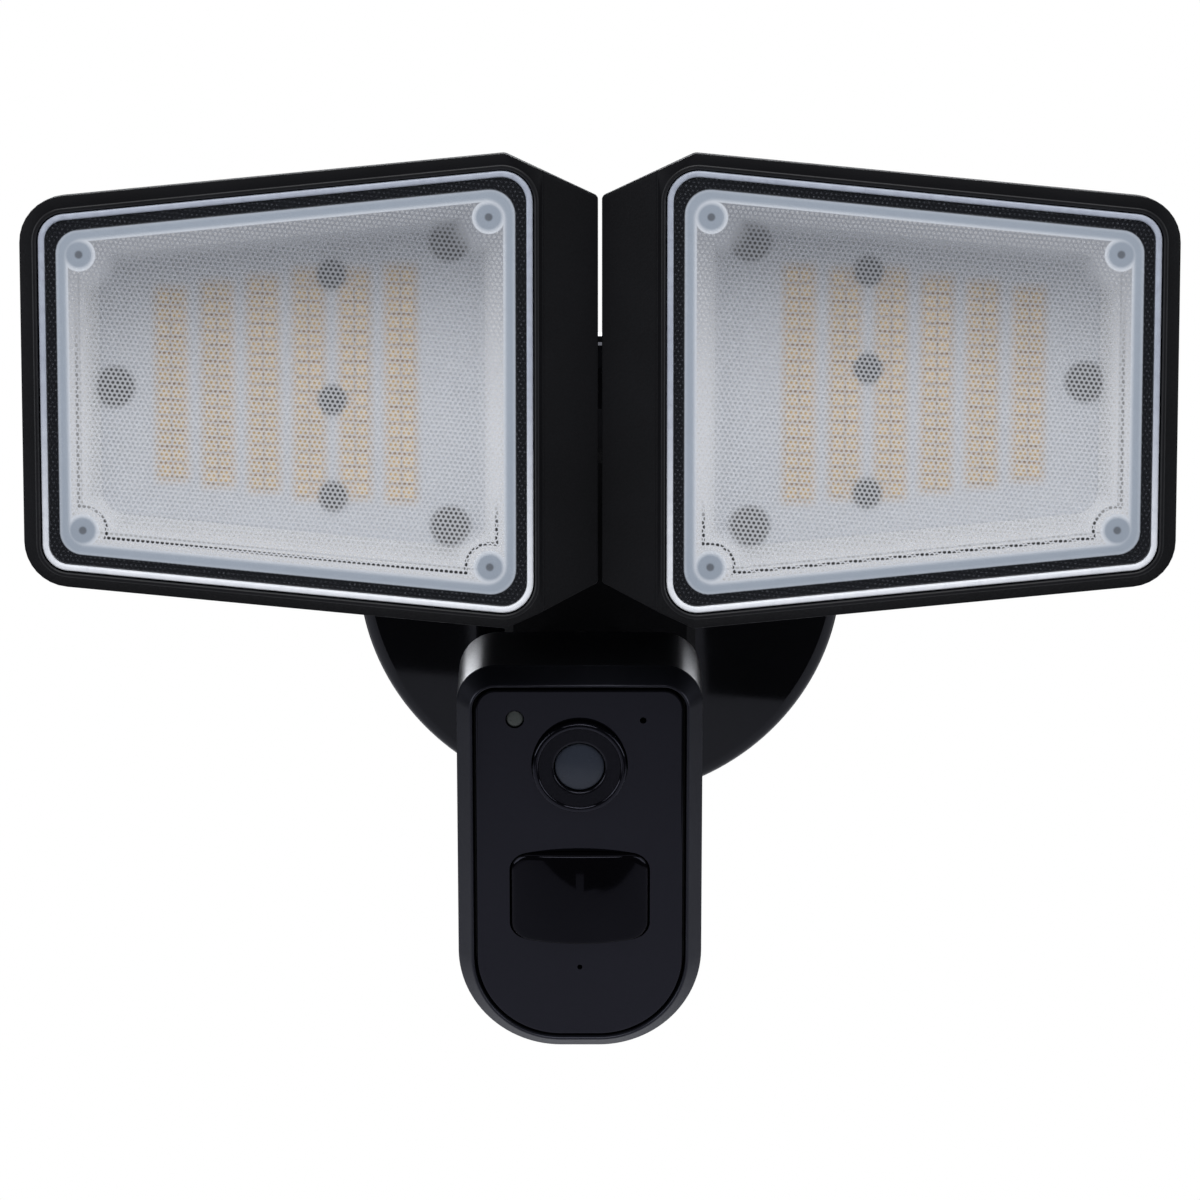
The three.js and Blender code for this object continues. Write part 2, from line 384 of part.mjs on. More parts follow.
// ---------------------------------------------------------------- camera pod
{
  const pod = new THREE.Group();
  pod.position.set(POD_X, POD_FACE, POD_ZC);
  group.add(pod);
  const W = POD_HALF_W, H = POD_HALF_H;
  const ringAt = (d, steps = 6) => outline([[-W + d, -H + d, POD_BOT_R - d], [W - d, -H + d, POD_BOT_R - d], [W - d, H - d, Math.max(POD_TOP_R - d, 2.5)], [-W + d, H - d, Math.max(POD_TOP_R - d, 2.5)]], steps);

  // front bezel: chamfered ring
  let bezel = cut(loft([[ringAt(POD_CH_IN), 0], [ringAt(0), POD_CH_D]]), prismY(ringAt(4.4), -1, POD_CH_D + 1));
  piece(pod, 'camera_bezel', bezel, 'satin');

  // rear housing: cup with knuckle ears, card slot and button bore
  const EAR_Z = POD_TILT_Z - POD_ZC, EAR_Y = POD_TILT_Y - POD_FACE;
  let rear = loft([[ringAt(0), POD_CH_D + GAP], [ringAt(0), POD_DEPTH - 2.5], [ringAt(0.8), POD_DEPTH - 0.8], [ringAt(2.4), POD_DEPTH]]);
  const ear = (x0, x1) => hullOf([...boxPoints(x0, x1, POD_DEPTH - 1.5, POD_DEPTH, EAR_Z - 9, EAR_Z + 9),
    ...Array.from({ length: 16 }, (_, i) => i * Math.PI / 8).flatMap(a => [x0, x1].map(px => [px, EAR_Y + 6.6 * Math.cos(a), EAR_Z + 6.6 * Math.sin(a)]))]);
  rear = join(rear, ear(-8.4, -4.2), ear(4.2, 8.4));
  rear = cut(rear, prismY(ringAt(2.4), 0, POD_DEPTH - 2.4));
  rear = cut(rear, cylX(2.6, -12, 12, EAR_Y, EAR_Z, 16));
  // recess for the card cover, card slot, reset bore, cable hole
  rear = cut(rear, box(-11.3, 11.3, POD_DEPTH - 1.5, POD_DEPTH + 1, -33.3, -20.7));
  rear = cut(rear, box(-7, 7, POD_DEPTH - 5, POD_DEPTH + 1, -28, -25.4));
  rear = cut(rear, cylY(2.6, POD_DEPTH - 5, POD_DEPTH + 1, 0, -38.5, 16));
  rear = cut(rear, cylY(2.6, POD_DEPTH - 5, POD_DEPTH + 1, 0, 44, 12));
  for (const [gx, gz] of [[-9, 8], [-6, 8], [-3, 8], [0, 8], [3, 8], [6, 8], [9, 8]]) rear = cut(rear, box(gx - 0.6, gx + 0.6, POD_DEPTH - 5, POD_DEPTH + 1, -10, -2));
  piece(pod, 'camera_housing', rear, 'satin');

  piece(pod, 'card_cover', join(box(-11, 11, POD_DEPTH - 1.2, POD_DEPTH, -33, -21.3), box(-2.5, 2.5, POD_DEPTH - 0.1, POD_DEPTH + 0.6, -32.2, -30.8)), 'rubber');
  piece(pod, 'reset_button', join(cylY(2.3, POD_DEPTH - 2.2, POD_DEPTH + 0.9, 0, -38.5, 16), cylY(3.6, POD_DEPTH - 4.4, POD_DEPTH - 3.4, 0, -38.5, 16), cylY(2.3, POD_DEPTH - 3.5, POD_DEPTH - 2.1, 0, -38.5, 16)), 'rubber');

  // seal between bezel and face plate
  piece(pod, 'camera_seal', cut(prismY(ringAt(4.8), 3.1, 4.3), prismY(ringAt(6.6), 0, 6)), 'rubber');

  // gloss face plate with its openings
  let plate = prismY(ringAt(PLATE_IN), 0.5, 2.8);
  plate = cut(plate, cylY(LENS_RING_R + 0.3, -1, 5, 0, LENS_UP, 32));
  plate = cut(plate, prismY(outline([[-PIR_HALF_W - 0.3, PIR_UP - PIR_HALF_H - 0.3, 4], [PIR_HALF_W + 0.3, PIR_UP - PIR_HALF_H - 0.3, 4], [PIR_HALF_W + 0.3, PIR_UP + PIR_HALF_H + 0.3, 4], [-PIR_HALF_W - 0.3, PIR_UP + PIR_HALF_H + 0.3, 4]], 5), -1, 5));
  plate = cut(plate, cylY(2.5, -1, 5, LIGHT_X, LIGHT_UP, 16), cylY(0.9, -1, 5, MIC_X, MIC_UP, 8), cylY(0.7, -1, 5, 0, MIC2_UP, 8));
  piece(pod, 'face_plate', plate, 'gloss');

  // lens assembly
  const R = LENS_RING_R, o = -LENS_RING_OUT;
  piece(pod, 'lens_ring', latheY([[GLASS_R + 0.3, -1.0], [R - 1.6, o + 0.9], [R - 1.1, o + 0.2], [R - 0.6, o], [R, o + 0.5], [R, 4.4], [GLASS_R + 0.3, 4.4]], 0, LENS_UP, 32), 'gloss');
  piece(pod, 'lens_glass', latheY([[0, -1.5], [2.4, -1.38], [4.4, -1.1], [GLASS_R, -0.6], [GLASS_R, 3.2], [0, 3.2]], 0, LENS_UP, 24), 'glass');
  piece(pod, 'lens_barrel', latheY([[0, 4.8], [7.6, 4.8], [7.6, 11], [6.4, 11], [6.4, 17], [0, 17]], 0, LENS_UP, 24), 'blacksteel');
  piece(pod, 'camera_board', join(box(-13, 13, 17.3, 18.7, LENS_UP - 13, LENS_UP + 13), box(-8, 8, 18.6, 20.6, LENS_UP - 8, LENS_UP + 6)), 'pcb');
  piece(pod, 'main_board', join(box(-24, 24, 24, 25.6, -26, 40), box(-9, 9, 25.5, 28, 4, 22), box(-20, 20, 25.5, 27.2, -20, -4), box(-7.5, 7.5, 25.5, 27.6, -25.6, -22)), 'pcb');

  // motion sensor window, bulging forwards, and its sensor
  const arcTop = [], n = 12;
  for (let i = 0; i <= n; i++) { const x = -PIR_HALF_W + 2 * PIR_HALF_W * i / n; arcTop.push([x, 0.4 - PIR_BULGE * (1 - (x / PIR_HALF_W) ** 2)]); }
  let pir = prismZ([...arcTop, [PIR_HALF_W, 2.6], [-PIR_HALF_W, 2.6]], PIR_UP - PIR_HALF_H, PIR_UP + PIR_HALF_H);
  pir = pir.intersect(prismY(outline([[-PIR_HALF_W, PIR_UP - PIR_HALF_H, 3.7], [PIR_HALF_W, PIR_UP - PIR_HALF_H, 3.7], [PIR_HALF_W, PIR_UP + PIR_HALF_H, 3.7], [-PIR_HALF_W, PIR_UP + PIR_HALF_H, 3.7]], 5), -10, 10));
  const arcIn = [];
  for (let i = 0; i <= n; i++) { const x = -(PIR_HALF_W - 2.2) + 2 * (PIR_HALF_W - 2.2) * i / n; arcIn.push([x, 1.6 - PIR_BULGE * (1 - (x / (PIR_HALF_W - 2.2)) ** 2)]); }
  pir = cut(pir, prismZ([...arcIn, [PIR_HALF_W - 2.2, 4], [-PIR_HALF_W + 2.2, 4]], PIR_UP - PIR_HALF_H + 2, PIR_UP + PIR_HALF_H - 2));
  piece(pod, 'pir_window', pir, 'gloss');
  piece(pod, 'pir_sensor', latheY([[0, 8], [4.1, 8], [4.6, 8.5], [4.6, 12], [5.2, 12], [5.2, 13], [0, 13]], 0, PIR_UP, 16), 'steel');

  piece(pod, 'light_sensor_window', latheY([[0, 1.0], [2.2, 1.0], [2.2, 2.6], [0, 2.6]], LIGHT_X, LIGHT_UP, 16), 'glass');
  piece(pod, 'speaker', latheY([[0, 29.2], [9.5, 29.2], [10.5, 30.2], [10.5, 34.6], [0, 34.6]], 0, -6 + 0, 20), 'blacksteel');
  piece(pod, 'camera_tilt_pin', join(cylX(2.5, -10.4, 9.0, EAR_Y, EAR_Z, 16), cylX(4.0, -10.6, -8.8, EAR_Y, EAR_Z, 16)), 'steel');
}

export default group;
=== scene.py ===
import math
import bpy
import bmesh
import numpy as np
from mathutils import Matrix, Vector


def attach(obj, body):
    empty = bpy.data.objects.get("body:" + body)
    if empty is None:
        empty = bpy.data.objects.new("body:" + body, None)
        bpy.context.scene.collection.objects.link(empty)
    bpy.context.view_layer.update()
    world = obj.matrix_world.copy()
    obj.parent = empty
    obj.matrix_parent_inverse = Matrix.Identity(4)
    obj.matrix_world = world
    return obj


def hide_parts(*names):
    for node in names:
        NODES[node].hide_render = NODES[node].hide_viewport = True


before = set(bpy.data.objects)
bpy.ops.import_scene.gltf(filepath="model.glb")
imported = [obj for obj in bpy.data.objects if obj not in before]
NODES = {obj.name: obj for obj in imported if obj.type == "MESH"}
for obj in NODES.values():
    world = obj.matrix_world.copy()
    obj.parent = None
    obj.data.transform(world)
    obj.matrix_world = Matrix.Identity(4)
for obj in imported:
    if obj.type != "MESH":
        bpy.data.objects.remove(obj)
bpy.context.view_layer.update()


scene = bpy.context.scene

# ------------------------------------------------------------------ dimensions, mm, as in the CAD
CANOPY_R, CANOPY_FRONT, CANOPY_BACK, CANOPY_WALL = 70.7, -11.0, -2.8, 2.5
HEAD_Y, HEAD_Z, HEAD_TILT = -158.0, 93.9, math.radians(9.5)
HEAD_DEPTH, PIVOT_DEPTH = 42.0, 54.0
APEX_X, OUTER_X, INNER_X, INNER_H, INNER_DEPTH = 24.4, 149.0, 0.5, 50.3, 9.0
RIM_X0, RIM_X1 = 17.2, 144.0
BEVEL_DEPTH = 2.7
LENS_FRONT, LENS_T = 0.5, 2.6
BOARD_DEPTH, BOARD_T = 26.0, 1.6
BOSS_X = 52.0
STRIP_X = [52.2, 64.3, 76.3, 88.3, 100.3, 112.4]
STRIP_LEN = [61.1, 59.1, 59.2, 55.4, 52.5, 49.5]
BIG_SCREWS = [(39.4, 37.5), (39.4, -37.5), (127.3, 0.6)]
SMALL_SCREWS = [(70.3, 29.6), (70.3, 4.2), (70.3, -28.8)]
POSTS = [(28.5, 45.2), (28.5, -45.2), (133.6, 35.6), (133.6, -35.6)]
POD_X, POD_FACE, POD_ZC = -5.5, -132.0, -45.1
POD_W, POD_H, POD_DEPTH = 33.2, 54.9, 38.0
POD_TOP_R, POD_BOT_R, PLATE_IN = 10.7, 28.0, 5.3
POD_TILT_Y, POD_TILT_Z = -86.0, -19.0
LENS_UP, RING_R, RING_OUT, GLASS_R = 28.4, 12.7, 2.4, 6.65
LIGHT_X, LIGHT_UP, MIC_X, MIC_UP, MIC2_UP = -17.4, 41.4, 17.1, 41.1, -30.0
PIR_UP, PIR_W, PIR_H, PIR_BULGE = -9.3, 18.75, 12.8, 3.8


def half_at(x):
    return 63.8 - 0.0960 * x


def rim_half(x):
    return 59.6 - 0.0985 * x


# ------------------------------------------------------------------ materials
def nodes_of(name):
    m = bpy.data.materials.new(name)
    m.use_nodes = True
    nt = m.node_tree
    return m, nt, nt.nodes["Principled BSDF"]


def tex(nt, scale, detail=2.0, rough=0.5, seed=0.0):
    tc = nt.nodes.new("ShaderNodeTexCoord")
    n = nt.nodes.new("ShaderNodeTexNoise")
    n.inputs["Scale"].default_value = scale
    n.inputs["Detail"].default_value = detail
    n.inputs["Roughness"].default_value = rough
    if seed:
        mp = nt.nodes.new("ShaderNodeMapping")
        mp.inputs["Location"].default_value = (seed, seed * 0.7, -seed)
        nt.links.new(tc.outputs["Object"], mp.inputs["Vector"])
        nt.links.new(mp.outputs["Vector"], n.inputs["Vector"])
    else:
        nt.links.new(tc.outputs["Object"], n.inputs["Vector"])
    return n


def ramp(nt, src, lo, hi, c0, c1):
    r = nt.nodes.new("ShaderNodeValToRGB")
    r.color_ramp.elements[0].position = lo
    r.color_ramp.elements[1].position = hi
    r.color_ramp.elements[0].color = (*c0, 1)
    r.color_ramp.elements[1].color = (*c1, 1)
    nt.links.new(src, r.inputs["Fac"])
    return r.outputs["Color"]


def moulded(name, base, rough, grain=1400.0, bump=0.25, dist=0.00006, var=0.25, rvar=0.06, spec=0.5, metal=0.0, coat=0.0, scuff=0.0):
    """moulded or painted surface: fine grain in the relief, slow change in colour and roughness"""
    m, nt, p = nodes_of(name)
    p.inputs["Metallic"].default_value = metal
    p.inputs["Specular IOR Level"].default_value = spec
    if coat:
        p.inputs["Coat Weight"].default_value = coat
        p.inputs["Coat Roughness"].default_value = 0.04
    slow = tex(nt, 38.0, 3.0, 0.55, 3.1)
    c0 = tuple(max(0.0, c * (1 - var)) for c in base)
    c1 = tuple(c * (1 + var) for c in base)
    nt.links.new(ramp(nt, slow.outputs["Fac"], 0.35, 0.65, c0, c1), p.inputs["Base Color"])
    fine = tex(nt, grain, 2.0, 0.6, 0.0)
    mr = nt.nodes.new("ShaderNodeMapRange")
    mr.inputs["From Min"].default_value = 0.3
    mr.inputs["From Max"].default_value = 0.7
    mr.inputs["To Min"].default_value = max(0.02, rough - rvar)
    mr.inputs["To Max"].default_value = min(1.0, rough + rvar)
    nt.links.new((slow if scuff else fine).outputs["Fac"], mr.inputs["Value"])
    nt.links.new(mr.outputs["Result"], p.inputs["Roughness"])
    if bump:
        b = nt.nodes.new("ShaderNodeBump")
        b.inputs["Strength"].default_value = bump
        b.inputs["Distance"].default_value = dist
        nt.links.new(fine.outputs["Fac"], b.inputs["Height"])
        nt.links.new(b.outputs["Normal"], p.inputs["Normal"])
    return m


def brushed(name, base, rough):
    m, nt, p = nodes_of(name)
    p.inputs["Metallic"].default_value = 1.0
    tc = nt.nodes.new("ShaderNodeTexCoord")
    mp = nt.nodes.new("ShaderNodeMapping")
    mp.inputs["Scale"].default_value = (60.0, 900.0, 900.0)
    n = nt.nodes.new("ShaderNodeTexNoise")
    n.inputs["Scale"].default_value = 1.0
    n.inputs["Detail"].default_value = 4.0
    nt.links.new(tc.outputs["Object"], mp.inputs["Vector"])
    nt.links.new(mp.outputs["Vector"], n.inputs["Vector"])
    nt.links.new(ramp(nt, n.outputs["Fac"], 0.3, 0.7, tuple(c * 0.8 for c in base), base), p.inputs["Base Color"])
    mr = nt.nodes.new("ShaderNodeMapRange")
    mr.inputs["To Min"].default_value = rough * 0.7
    mr.inputs["To Max"].default_value = min(1, rough * 1.4)
    nt.links.new(n.outputs["Fac"], mr.inputs["Value"])
    nt.links.new(mr.outputs["Result"], p.inputs["Roughness"])
    b = nt.nodes.new("ShaderNodeBump")
    b.inputs["Strength"].default_value = 0.15
    b.inputs["Distance"].default_value = 0.00003
    nt.links.new(n.outputs["Fac"], b.inputs["Height"])
    nt.links.new(b.outputs["Normal"], p.inputs["Normal"])
    return m


M = {
    "matte": moulded("housing_matte", (0.0040, 0.0040, 0.0050), 0.60, 1500.0, 0.60, 0.00010, 0.18, 0.08, 0.12),
    "ridge": moulded("housing_ridge", (0.0075, 0.0075, 0.0088), 0.40, 1800.0, 0.20, 0.00005, 0.15, 0.05, 0.25),
    "canopy": moulded("canopy_gloss", (0.0012, 0.0012, 0.0016), 0.025, 900.0, 0.01, 0.00001, 0.2, 0.008, 0.40, scuff=1),
    "satin": moulded("pod_satin", (0.0066, 0.0069, 0.0094), 0.33, 2200.0, 0.16, 0.00004, 0.15, 0.05, 0.42),
    "gloss": moulded("face_gloss", (0.0018, 0.0018, 0.0026), 0.06, 900.0, 0.012, 0.00001, 0.2, 0.012, 0.42, scuff=1),
    "pir": moulded("motion_gloss", (0.0014, 0.0013, 0.0018), 0.05, 900.0, 0.010, 0.00001, 0.2, 0.010, 0.16, scuff=1),
    "collar": moulded("lens_collar", (0.0016, 0.0016, 0.0022), 0.22, 2200.0, 0.05, 0.00002, 0.2, 0.04, 0.32),
    "rubber": moulded("rubber_black", (0.011, 0.011, 0.011), 0.85, 900.0, 0.35, 0.00010, 0.2, 0.08, 0.25),
    "foam": moulded("gasket_foam", (0.018, 0.018, 0.018), 0.95, 700.0, 0.9, 0.00030, 0.3, 0.04, 0.2),
    "white": moulded("reflector_white", (0.80, 0.81, 0.82), 0.50, 500.0, 0.08, 0.00005, 0.02, 0.06, 0.4),
    "mask": moulded("led_board_mask", (0.74, 0.76, 0.80), 0.42, 700.0, 0.12, 0.00004, 0.03, 0.05, 0.4),
    "phosphor": moulded("led_phosphor", (0.86, 0.61, 0.31), 0.55, 1500.0, 0.3, 0.00006, 0.10, 0.08, 0.3),
    "chip": moulded("led_case", (0.80, 0.64, 0.45), 0.45, 900.0, 0.1, 0.00004, 0.04, 0.05, 0.4),
    "pcb": moulded("circuit_board", (0.012, 0.10, 0.045), 0.38, 900.0, 0.3, 0.00008, 0.35, 0.08, 0.5),
    "blackoxide": moulded("screw_black", (0.022, 0.022, 0.025), 0.38, 1600.0, 0.25, 0.00005, 0.3, 0.08, 0.5, metal=0.85),
    "speaker": moulded("speaker_black", (0.014, 0.014, 0.014), 0.75, 1200.0, 0.4, 0.0001, 0.3, 0.08, 0.3),
    # black for the strips of painted shade on the reflector tray
    "shade_black": moulded("painted_shade_black", (0.010, 0.010, 0.011), 0.6, 900.0, 0.2, 0.00005, 0.2, 0.08, 0.3),
    "steel": brushed("bracket_steel", (0.55, 0.55, 0.54), 0.34),
    "screw": brushed("screw_steel", (0.50, 0.50, 0.50), 0.28),
    "darkscrew": moulded("screw_dark", (0.012, 0.012, 0.013), 0.5, 1400.0, 0.2, 0.00005, 0.2, 0.08, 0.3),
}


for key, tint in (("satin", (0.80, 0.81, 1.0)), ("gloss", (0.78, 0.78, 1.0)), ("pir", (0.78, 0.78, 1.0)), ("collar", (0.80, 0.80, 1.0)), ("canopy", (0.88, 0.89, 1.0))):
    M[key].node_tree.nodes["Principled BSDF"].inputs["Specular Tint"].default_value = (*tint, 1)


def glass_mat():
    """coated lens glass: blue-grey, with a painted sheen that makes it paler where its surface turns away from the view
    """
    m, nt, p = nodes_of("camera_glass")
    # painted sheen: the base colour grows paler towards a grazing view
    lw = nt.nodes.new("ShaderNodeLayerWeight")
    lw.inputs["Blend"].default_value = 0.30
    nt.links.new(ramp(nt, lw.outputs["Facing"], 0.05, 0.7, (0.028, 0.033, 0.046), (0.058, 0.066, 0.086)), p.inputs["Base Color"])
    n = tex(nt, 260.0, 2.0, 0.5, 1.3)
    mr = nt.nodes.new("ShaderNodeMapRange")
    mr.inputs["To Min"].default_value = 0.20
    mr.inputs["To Max"].default_value = 0.32
    nt.links.new(n.outputs["Fac"], mr.inputs["Value"])
    nt.links.new(mr.outputs["Result"], p.inputs["Roughness"])
    p.inputs["Specular IOR Level"].default_value = 0.30
    return m


M["glass"] = glass_mat()
M["sensor"] = moulded("light_sensor_window", (0.060, 0.066, 0.062), 0.30, 900.0, 0.05, 0.00003, 0.15, 0.05, 0.4)


def math_node(nt, op, a, b=None, clamp=False):
    n = nt.nodes.new("ShaderNodeMath")
    n.operation = op
    n.use_clamp = clamp
    for i, s in enumerate((a, b)):
        if s is None:
            continue
        if isinstance(s, (int, float)):
            n.inputs[i].default_value = s
        else:
            nt.links.new(s, n.inputs[i])
    return n.outputs[0]


def smooth_node(nt, value, lo, hi, to0=0.0, to1=1.0):
    n = nt.nodes.new("ShaderNodeMapRange")
    n.interpolation_type = "SMOOTHSTEP"
    n.inputs["From Min"].default_value = lo
    n.inputs["From Max"].default_value = hi
    n.inputs["To Min"].default_value = to0
    n.inputs["To Max"].default_value = to1
    nt.links.new(value, n.inputs["Value"])
    return n.outputs["Result"]


def mix_col(nt, fac, a, b):
    n = nt.nodes.new("ShaderNodeMix")
    n.data_type = "RGBA"
    nt.links.new(fac, n.inputs["Factor"])
    for key, s in ((6, a), (7, b)):
        if isinstance(s, tuple):
            n.inputs[key].default_value = (*s, 1)
        else:
            nt.links.new(s, n.inputs[key])
    return n.outputs[2]


def mix_val(nt, fac, a, b):
    n = nt.nodes.new("ShaderNodeMix")
    n.data_type = "FLOAT"
    nt.links.new(fac, n.inputs[0])
    for key, s in ((2, a), (3, b)):
        if isinstance(s, (int, float)):
            n.inputs[key].default_value = s
        else:
            nt.links.new(s, n.inputs[key])
    return n.outputs[0]


BAND_IN, BORDER_OUT, WINDOW_IN, NOTCH_R, POST_R = 1.6, 4.6, 7.6, 4.3, 3.1


def lens_mat():
    """prismatic lens: hp is the place on the lens, sdb and sdw the distance to the border's two outlines, dot the middle of each prism"""
    m, nt, p = nodes_of("lens_clear")

    def attr(name, out="Fac"):
        a = nt.nodes.new("ShaderNodeAttribute")
        a.attribute_name = name
        return a.outputs[out]

    hp = attr("hp", "Vector")
    near = None
    for x, z in POSTS:
        d = nt.nodes.new("ShaderNodeVectorMath")
        d.operation = "DISTANCE"
        d.inputs[1].default_value = (x, 0.0, z)
        nt.links.new(hp, d.inputs[0])
        near = d.outputs["Value"] if near is None else math_node(nt, "MINIMUM", near, d.outputs["Value"])
    sdw = math_node(nt, "MAXIMUM", attr("sdw"), math_node(nt, "SUBTRACT", NOTCH_R, near))
    sdb = attr("sdb")
    dot = attr("dot")
    in_border = smooth_node(nt, sdb, 0.25, -0.15)         # inside the border's outer line
    in_window = smooth_node(nt, sdw, 0.20, -0.20)
    post = smooth_node(nt, near, POST_R + 0.15, POST_R - 0.15)
    pin = smooth_node(nt, near, 1.3, 0.7)
    clear = smooth_node(nt, dot, 0.28, 0.52)
    grain = tex(nt, 2600.0, 2.0, 0.6, 0.0).outputs["Fac"]
    # colour
    tc = nt.nodes.new("ShaderNodeTexCoord")
    oz = nt.nodes.new("ShaderNodeSeparateXYZ")
    nt.links.new(tc.outputs["Object"], oz.inputs[0])
    lx = nt.nodes.new("ShaderNodeSeparateXYZ")
    nt.links.new(hp, lx.inputs[0])
    # painted shade: the window's colour is darker on its upper part and lighter low down
    top_shade = smooth_node(nt, oz.outputs[2], 0.080, 0.148)
    # painted shade: a dark dashed line along the window's low and outer edges, where the gap behind it lies in shadow
    low_part = smooth_node(nt, oz.outputs[2], 0.068, 0.060)
    side_part = math_node(nt, "MULTIPLY", smooth_node(nt, lx.outputs[0], 118.0, 124.0), smooth_node(nt, oz.outputs[2], 0.128, 0.095, 0.0, 0.75))
    line = smooth_node(nt, math_node(nt, "ABSOLUTE", math_node(nt, "ADD", sdw, 1.9)), 0.62, 0.22)
    gap_shade = math_node(nt, "MULTIPLY", math_node(nt, "MULTIPLY", line, math_node(nt, "MAXIMUM", low_part, side_part)), smooth_node(nt, dot, 0.15, 0.45))
    # painted highlight: pale lines along the border's inner edge and, fainter, along its outer edge
    edge_in = math_node(nt, "MULTIPLY", smooth_node(nt, sdw, 1.5, 0.2), smooth_node(nt, attr("sdw"), 1.7, -0.3))
    edge_out = smooth_node(nt, sdb, -1.0, -0.1)
    edge = math_node(nt, "MAXIMUM", edge_in, math_node(nt, "MULTIPLY", edge_out, 0.28), True)
    border = mix_col(nt, edge, (0.38, 0.43, 0.50), (0.74, 0.77, 0.82))
    border = mix_col(nt, math_node(nt, "MULTIPLY", post, 0.6), border, (0.31, 0.35, 0.41))
    border = mix_col(nt, pin, border, (0.15, 0.165, 0.19))
    # window colour: paler prism middles, and painted shade on the upper part
    window = mix_col(nt, top_shade, mix_col(nt, clear, (0.72, 0.73, 0.76), (1.0, 1.0, 1.0)), mix_col(nt, clear, (0.27, 0.28, 0.31), (0.62, 0.64, 0.68)))
    window = mix_col(nt, gap_shade, window, (0.010, 0.010, 0.011))
    # painted glints: pale specks at the prism middles, scattered at random, on the dark band
    band = mix_col(nt, math_node(nt, "MULTIPLY", smooth_node(nt, dot, 0.45, 0.85), smooth_node(nt, grain, 0.35, 0.70)), (0.012, 0.013, 0.016), (0.11, 0.115, 0.13))
    col = mix_col(nt, in_border, band, border)
    col = mix_col(nt, in_window, col, window)
    nt.links.new(col, p.inputs["Base Color"])
    # how much of what lies behind shows
    a_win = mix_val(nt, clear, 0.66, 0.06)
    a_win = mix_val(nt, smooth_node(nt, sdw, -7.5, -2.0), a_win, mix_val(nt, clear, 0.88, 0.46))
    a_win = mix_val(nt, gap_shade, a_win, 0.95)
    a_border = mix_val(nt, post, 0.86, 0.93)
    alpha = mix_val(nt, in_border, 0.75, a_border)
    alpha = mix_val(nt, in_window, alpha, a_win)
    nt.links.new(alpha, p.inputs["Alpha"])
    p.inputs["Specular IOR Level"].default_value = 0.5
    nt.links.new(mix_val(nt, in_window, mix_val(nt, in_border, 0.22, 0.45), 0.30), p.inputs["Roughness"])
    return m


M["lens"] = lens_mat()


def rim_mat():
    """the lens edge: translucent pale plastic, whiter low down where the floor lights it"""
    m, nt, p = nodes_of("lens_rim")
    tc = nt.nodes.new("ShaderNodeTexCoord")
    oz = nt.nodes.new("ShaderNodeSeparateXYZ")
    nt.links.new(tc.outputs["Object"], oz.inputs[0])
    n = tex(nt, 500.0, 2.0, 0.5, 0.9).outputs["Fac"]
    hi = ramp(nt, n, 0.3, 0.7, (0.40, 0.43, 0.51), (0.46, 0.50, 0.58))
    lo = ramp(nt, n, 0.3, 0.7, (0.84, 0.86, 0.90), (0.92, 0.93, 0.96))
    nt.links.new(mix_col(nt, smooth_node(nt, oz.outputs[2], 0.035, 0.105), lo, hi), p.inputs["Base Color"])
    nt.links.new(ramp(nt, n, 0.3, 0.7, (0.26, 0.26, 0.26), (0.38, 0.38, 0.38)), p.inputs["Roughness"])
    return m


M["rim"] = rim_mat()


def board_mat():
    """white board: the emitters' warm scatter lies in soft columns, and painted shade lies in soft dark rings round the
    screws
    """
    m, nt, p = nodes_of("led_board_white")
    a = nt.nodes.new("ShaderNodeAttribute")
    a.attribute_name = "hp"
    sep = nt.nodes.new("ShaderNodeSeparateXYZ")
    nt.links.new(a.outputs["Vector"], sep.inputs[0])
    warm = None
    for x, L in zip(STRIP_X, STRIP_LEN):
        dx = math_node(nt, "ABSOLUTE", math_node(nt, "SUBTRACT", sep.outputs[0], x))
        dz = math_node(nt, "ABSOLUTE", sep.outputs[2])
        w_ = math_node(nt, "MULTIPLY", smooth_node(nt, dx, 6.0, 2.6), smooth_node(nt, dz, L / 2 + 3.0, L / 2 - 1.0))
        warm = w_ if warm is None else math_node(nt, "MAXIMUM", warm, w_)
    # painted shade: a soft dark ring round each screw
    ring = None
    for places, r_ in ((BIG_SCREWS, 6.4), (SMALL_SCREWS, 5.0)):
        for x, z in places:
            d = nt.nodes.new("ShaderNodeVectorMath")
            d.operation = "DISTANCE"
            d.inputs[1].default_value = (x, 0.0, z)
            nt.links.new(a.outputs["Vector"], d.inputs[0])
            w_ = smooth_node(nt, d.outputs["Value"], r_, r_ - 2.2)
            ring = w_ if ring is None else math_node(nt, "MAXIMUM", ring, w_)
    n = tex(nt, 260.0, 2.0, 0.5, 2.0).outputs["Fac"]
    base = ramp(nt, n, 0.3, 0.7, (0.70, 0.73, 0.79), (0.74, 0.77, 0.82))
    col = mix_col(nt, warm, base, (0.82, 0.61, 0.40))
    col = mix_col(nt, ring, col, (0.015, 0.015, 0.016))
    nt.links.new(col, p.inputs["Base Color"])
    nt.links.new(ramp(nt, n, 0.3, 0.7, (0.42, 0.42, 0.42), (0.55, 0.55, 0.55)), p.inputs["Roughness"])
    return m


M["board"] = board_mat()


def clear_mat():
    m, nt, p = nodes_of("lens_back")
    n = tex(nt, 300.0, 2.0, 0.5, 0.4).outputs["Fac"]
    nt.links.new(ramp(nt, n, 0.3, 0.7, (0.85, 0.87, 0.9), (0.9, 0.92, 0.95)), p.inputs["Base Color"])
    p.inputs["Alpha"].default_value = 0.04
    p.inputs["Roughness"].default_value = 0.4
    p.inputs["Specular IOR Level"].default_value = 0.1
    return m


M["clear"] = clear_mat()


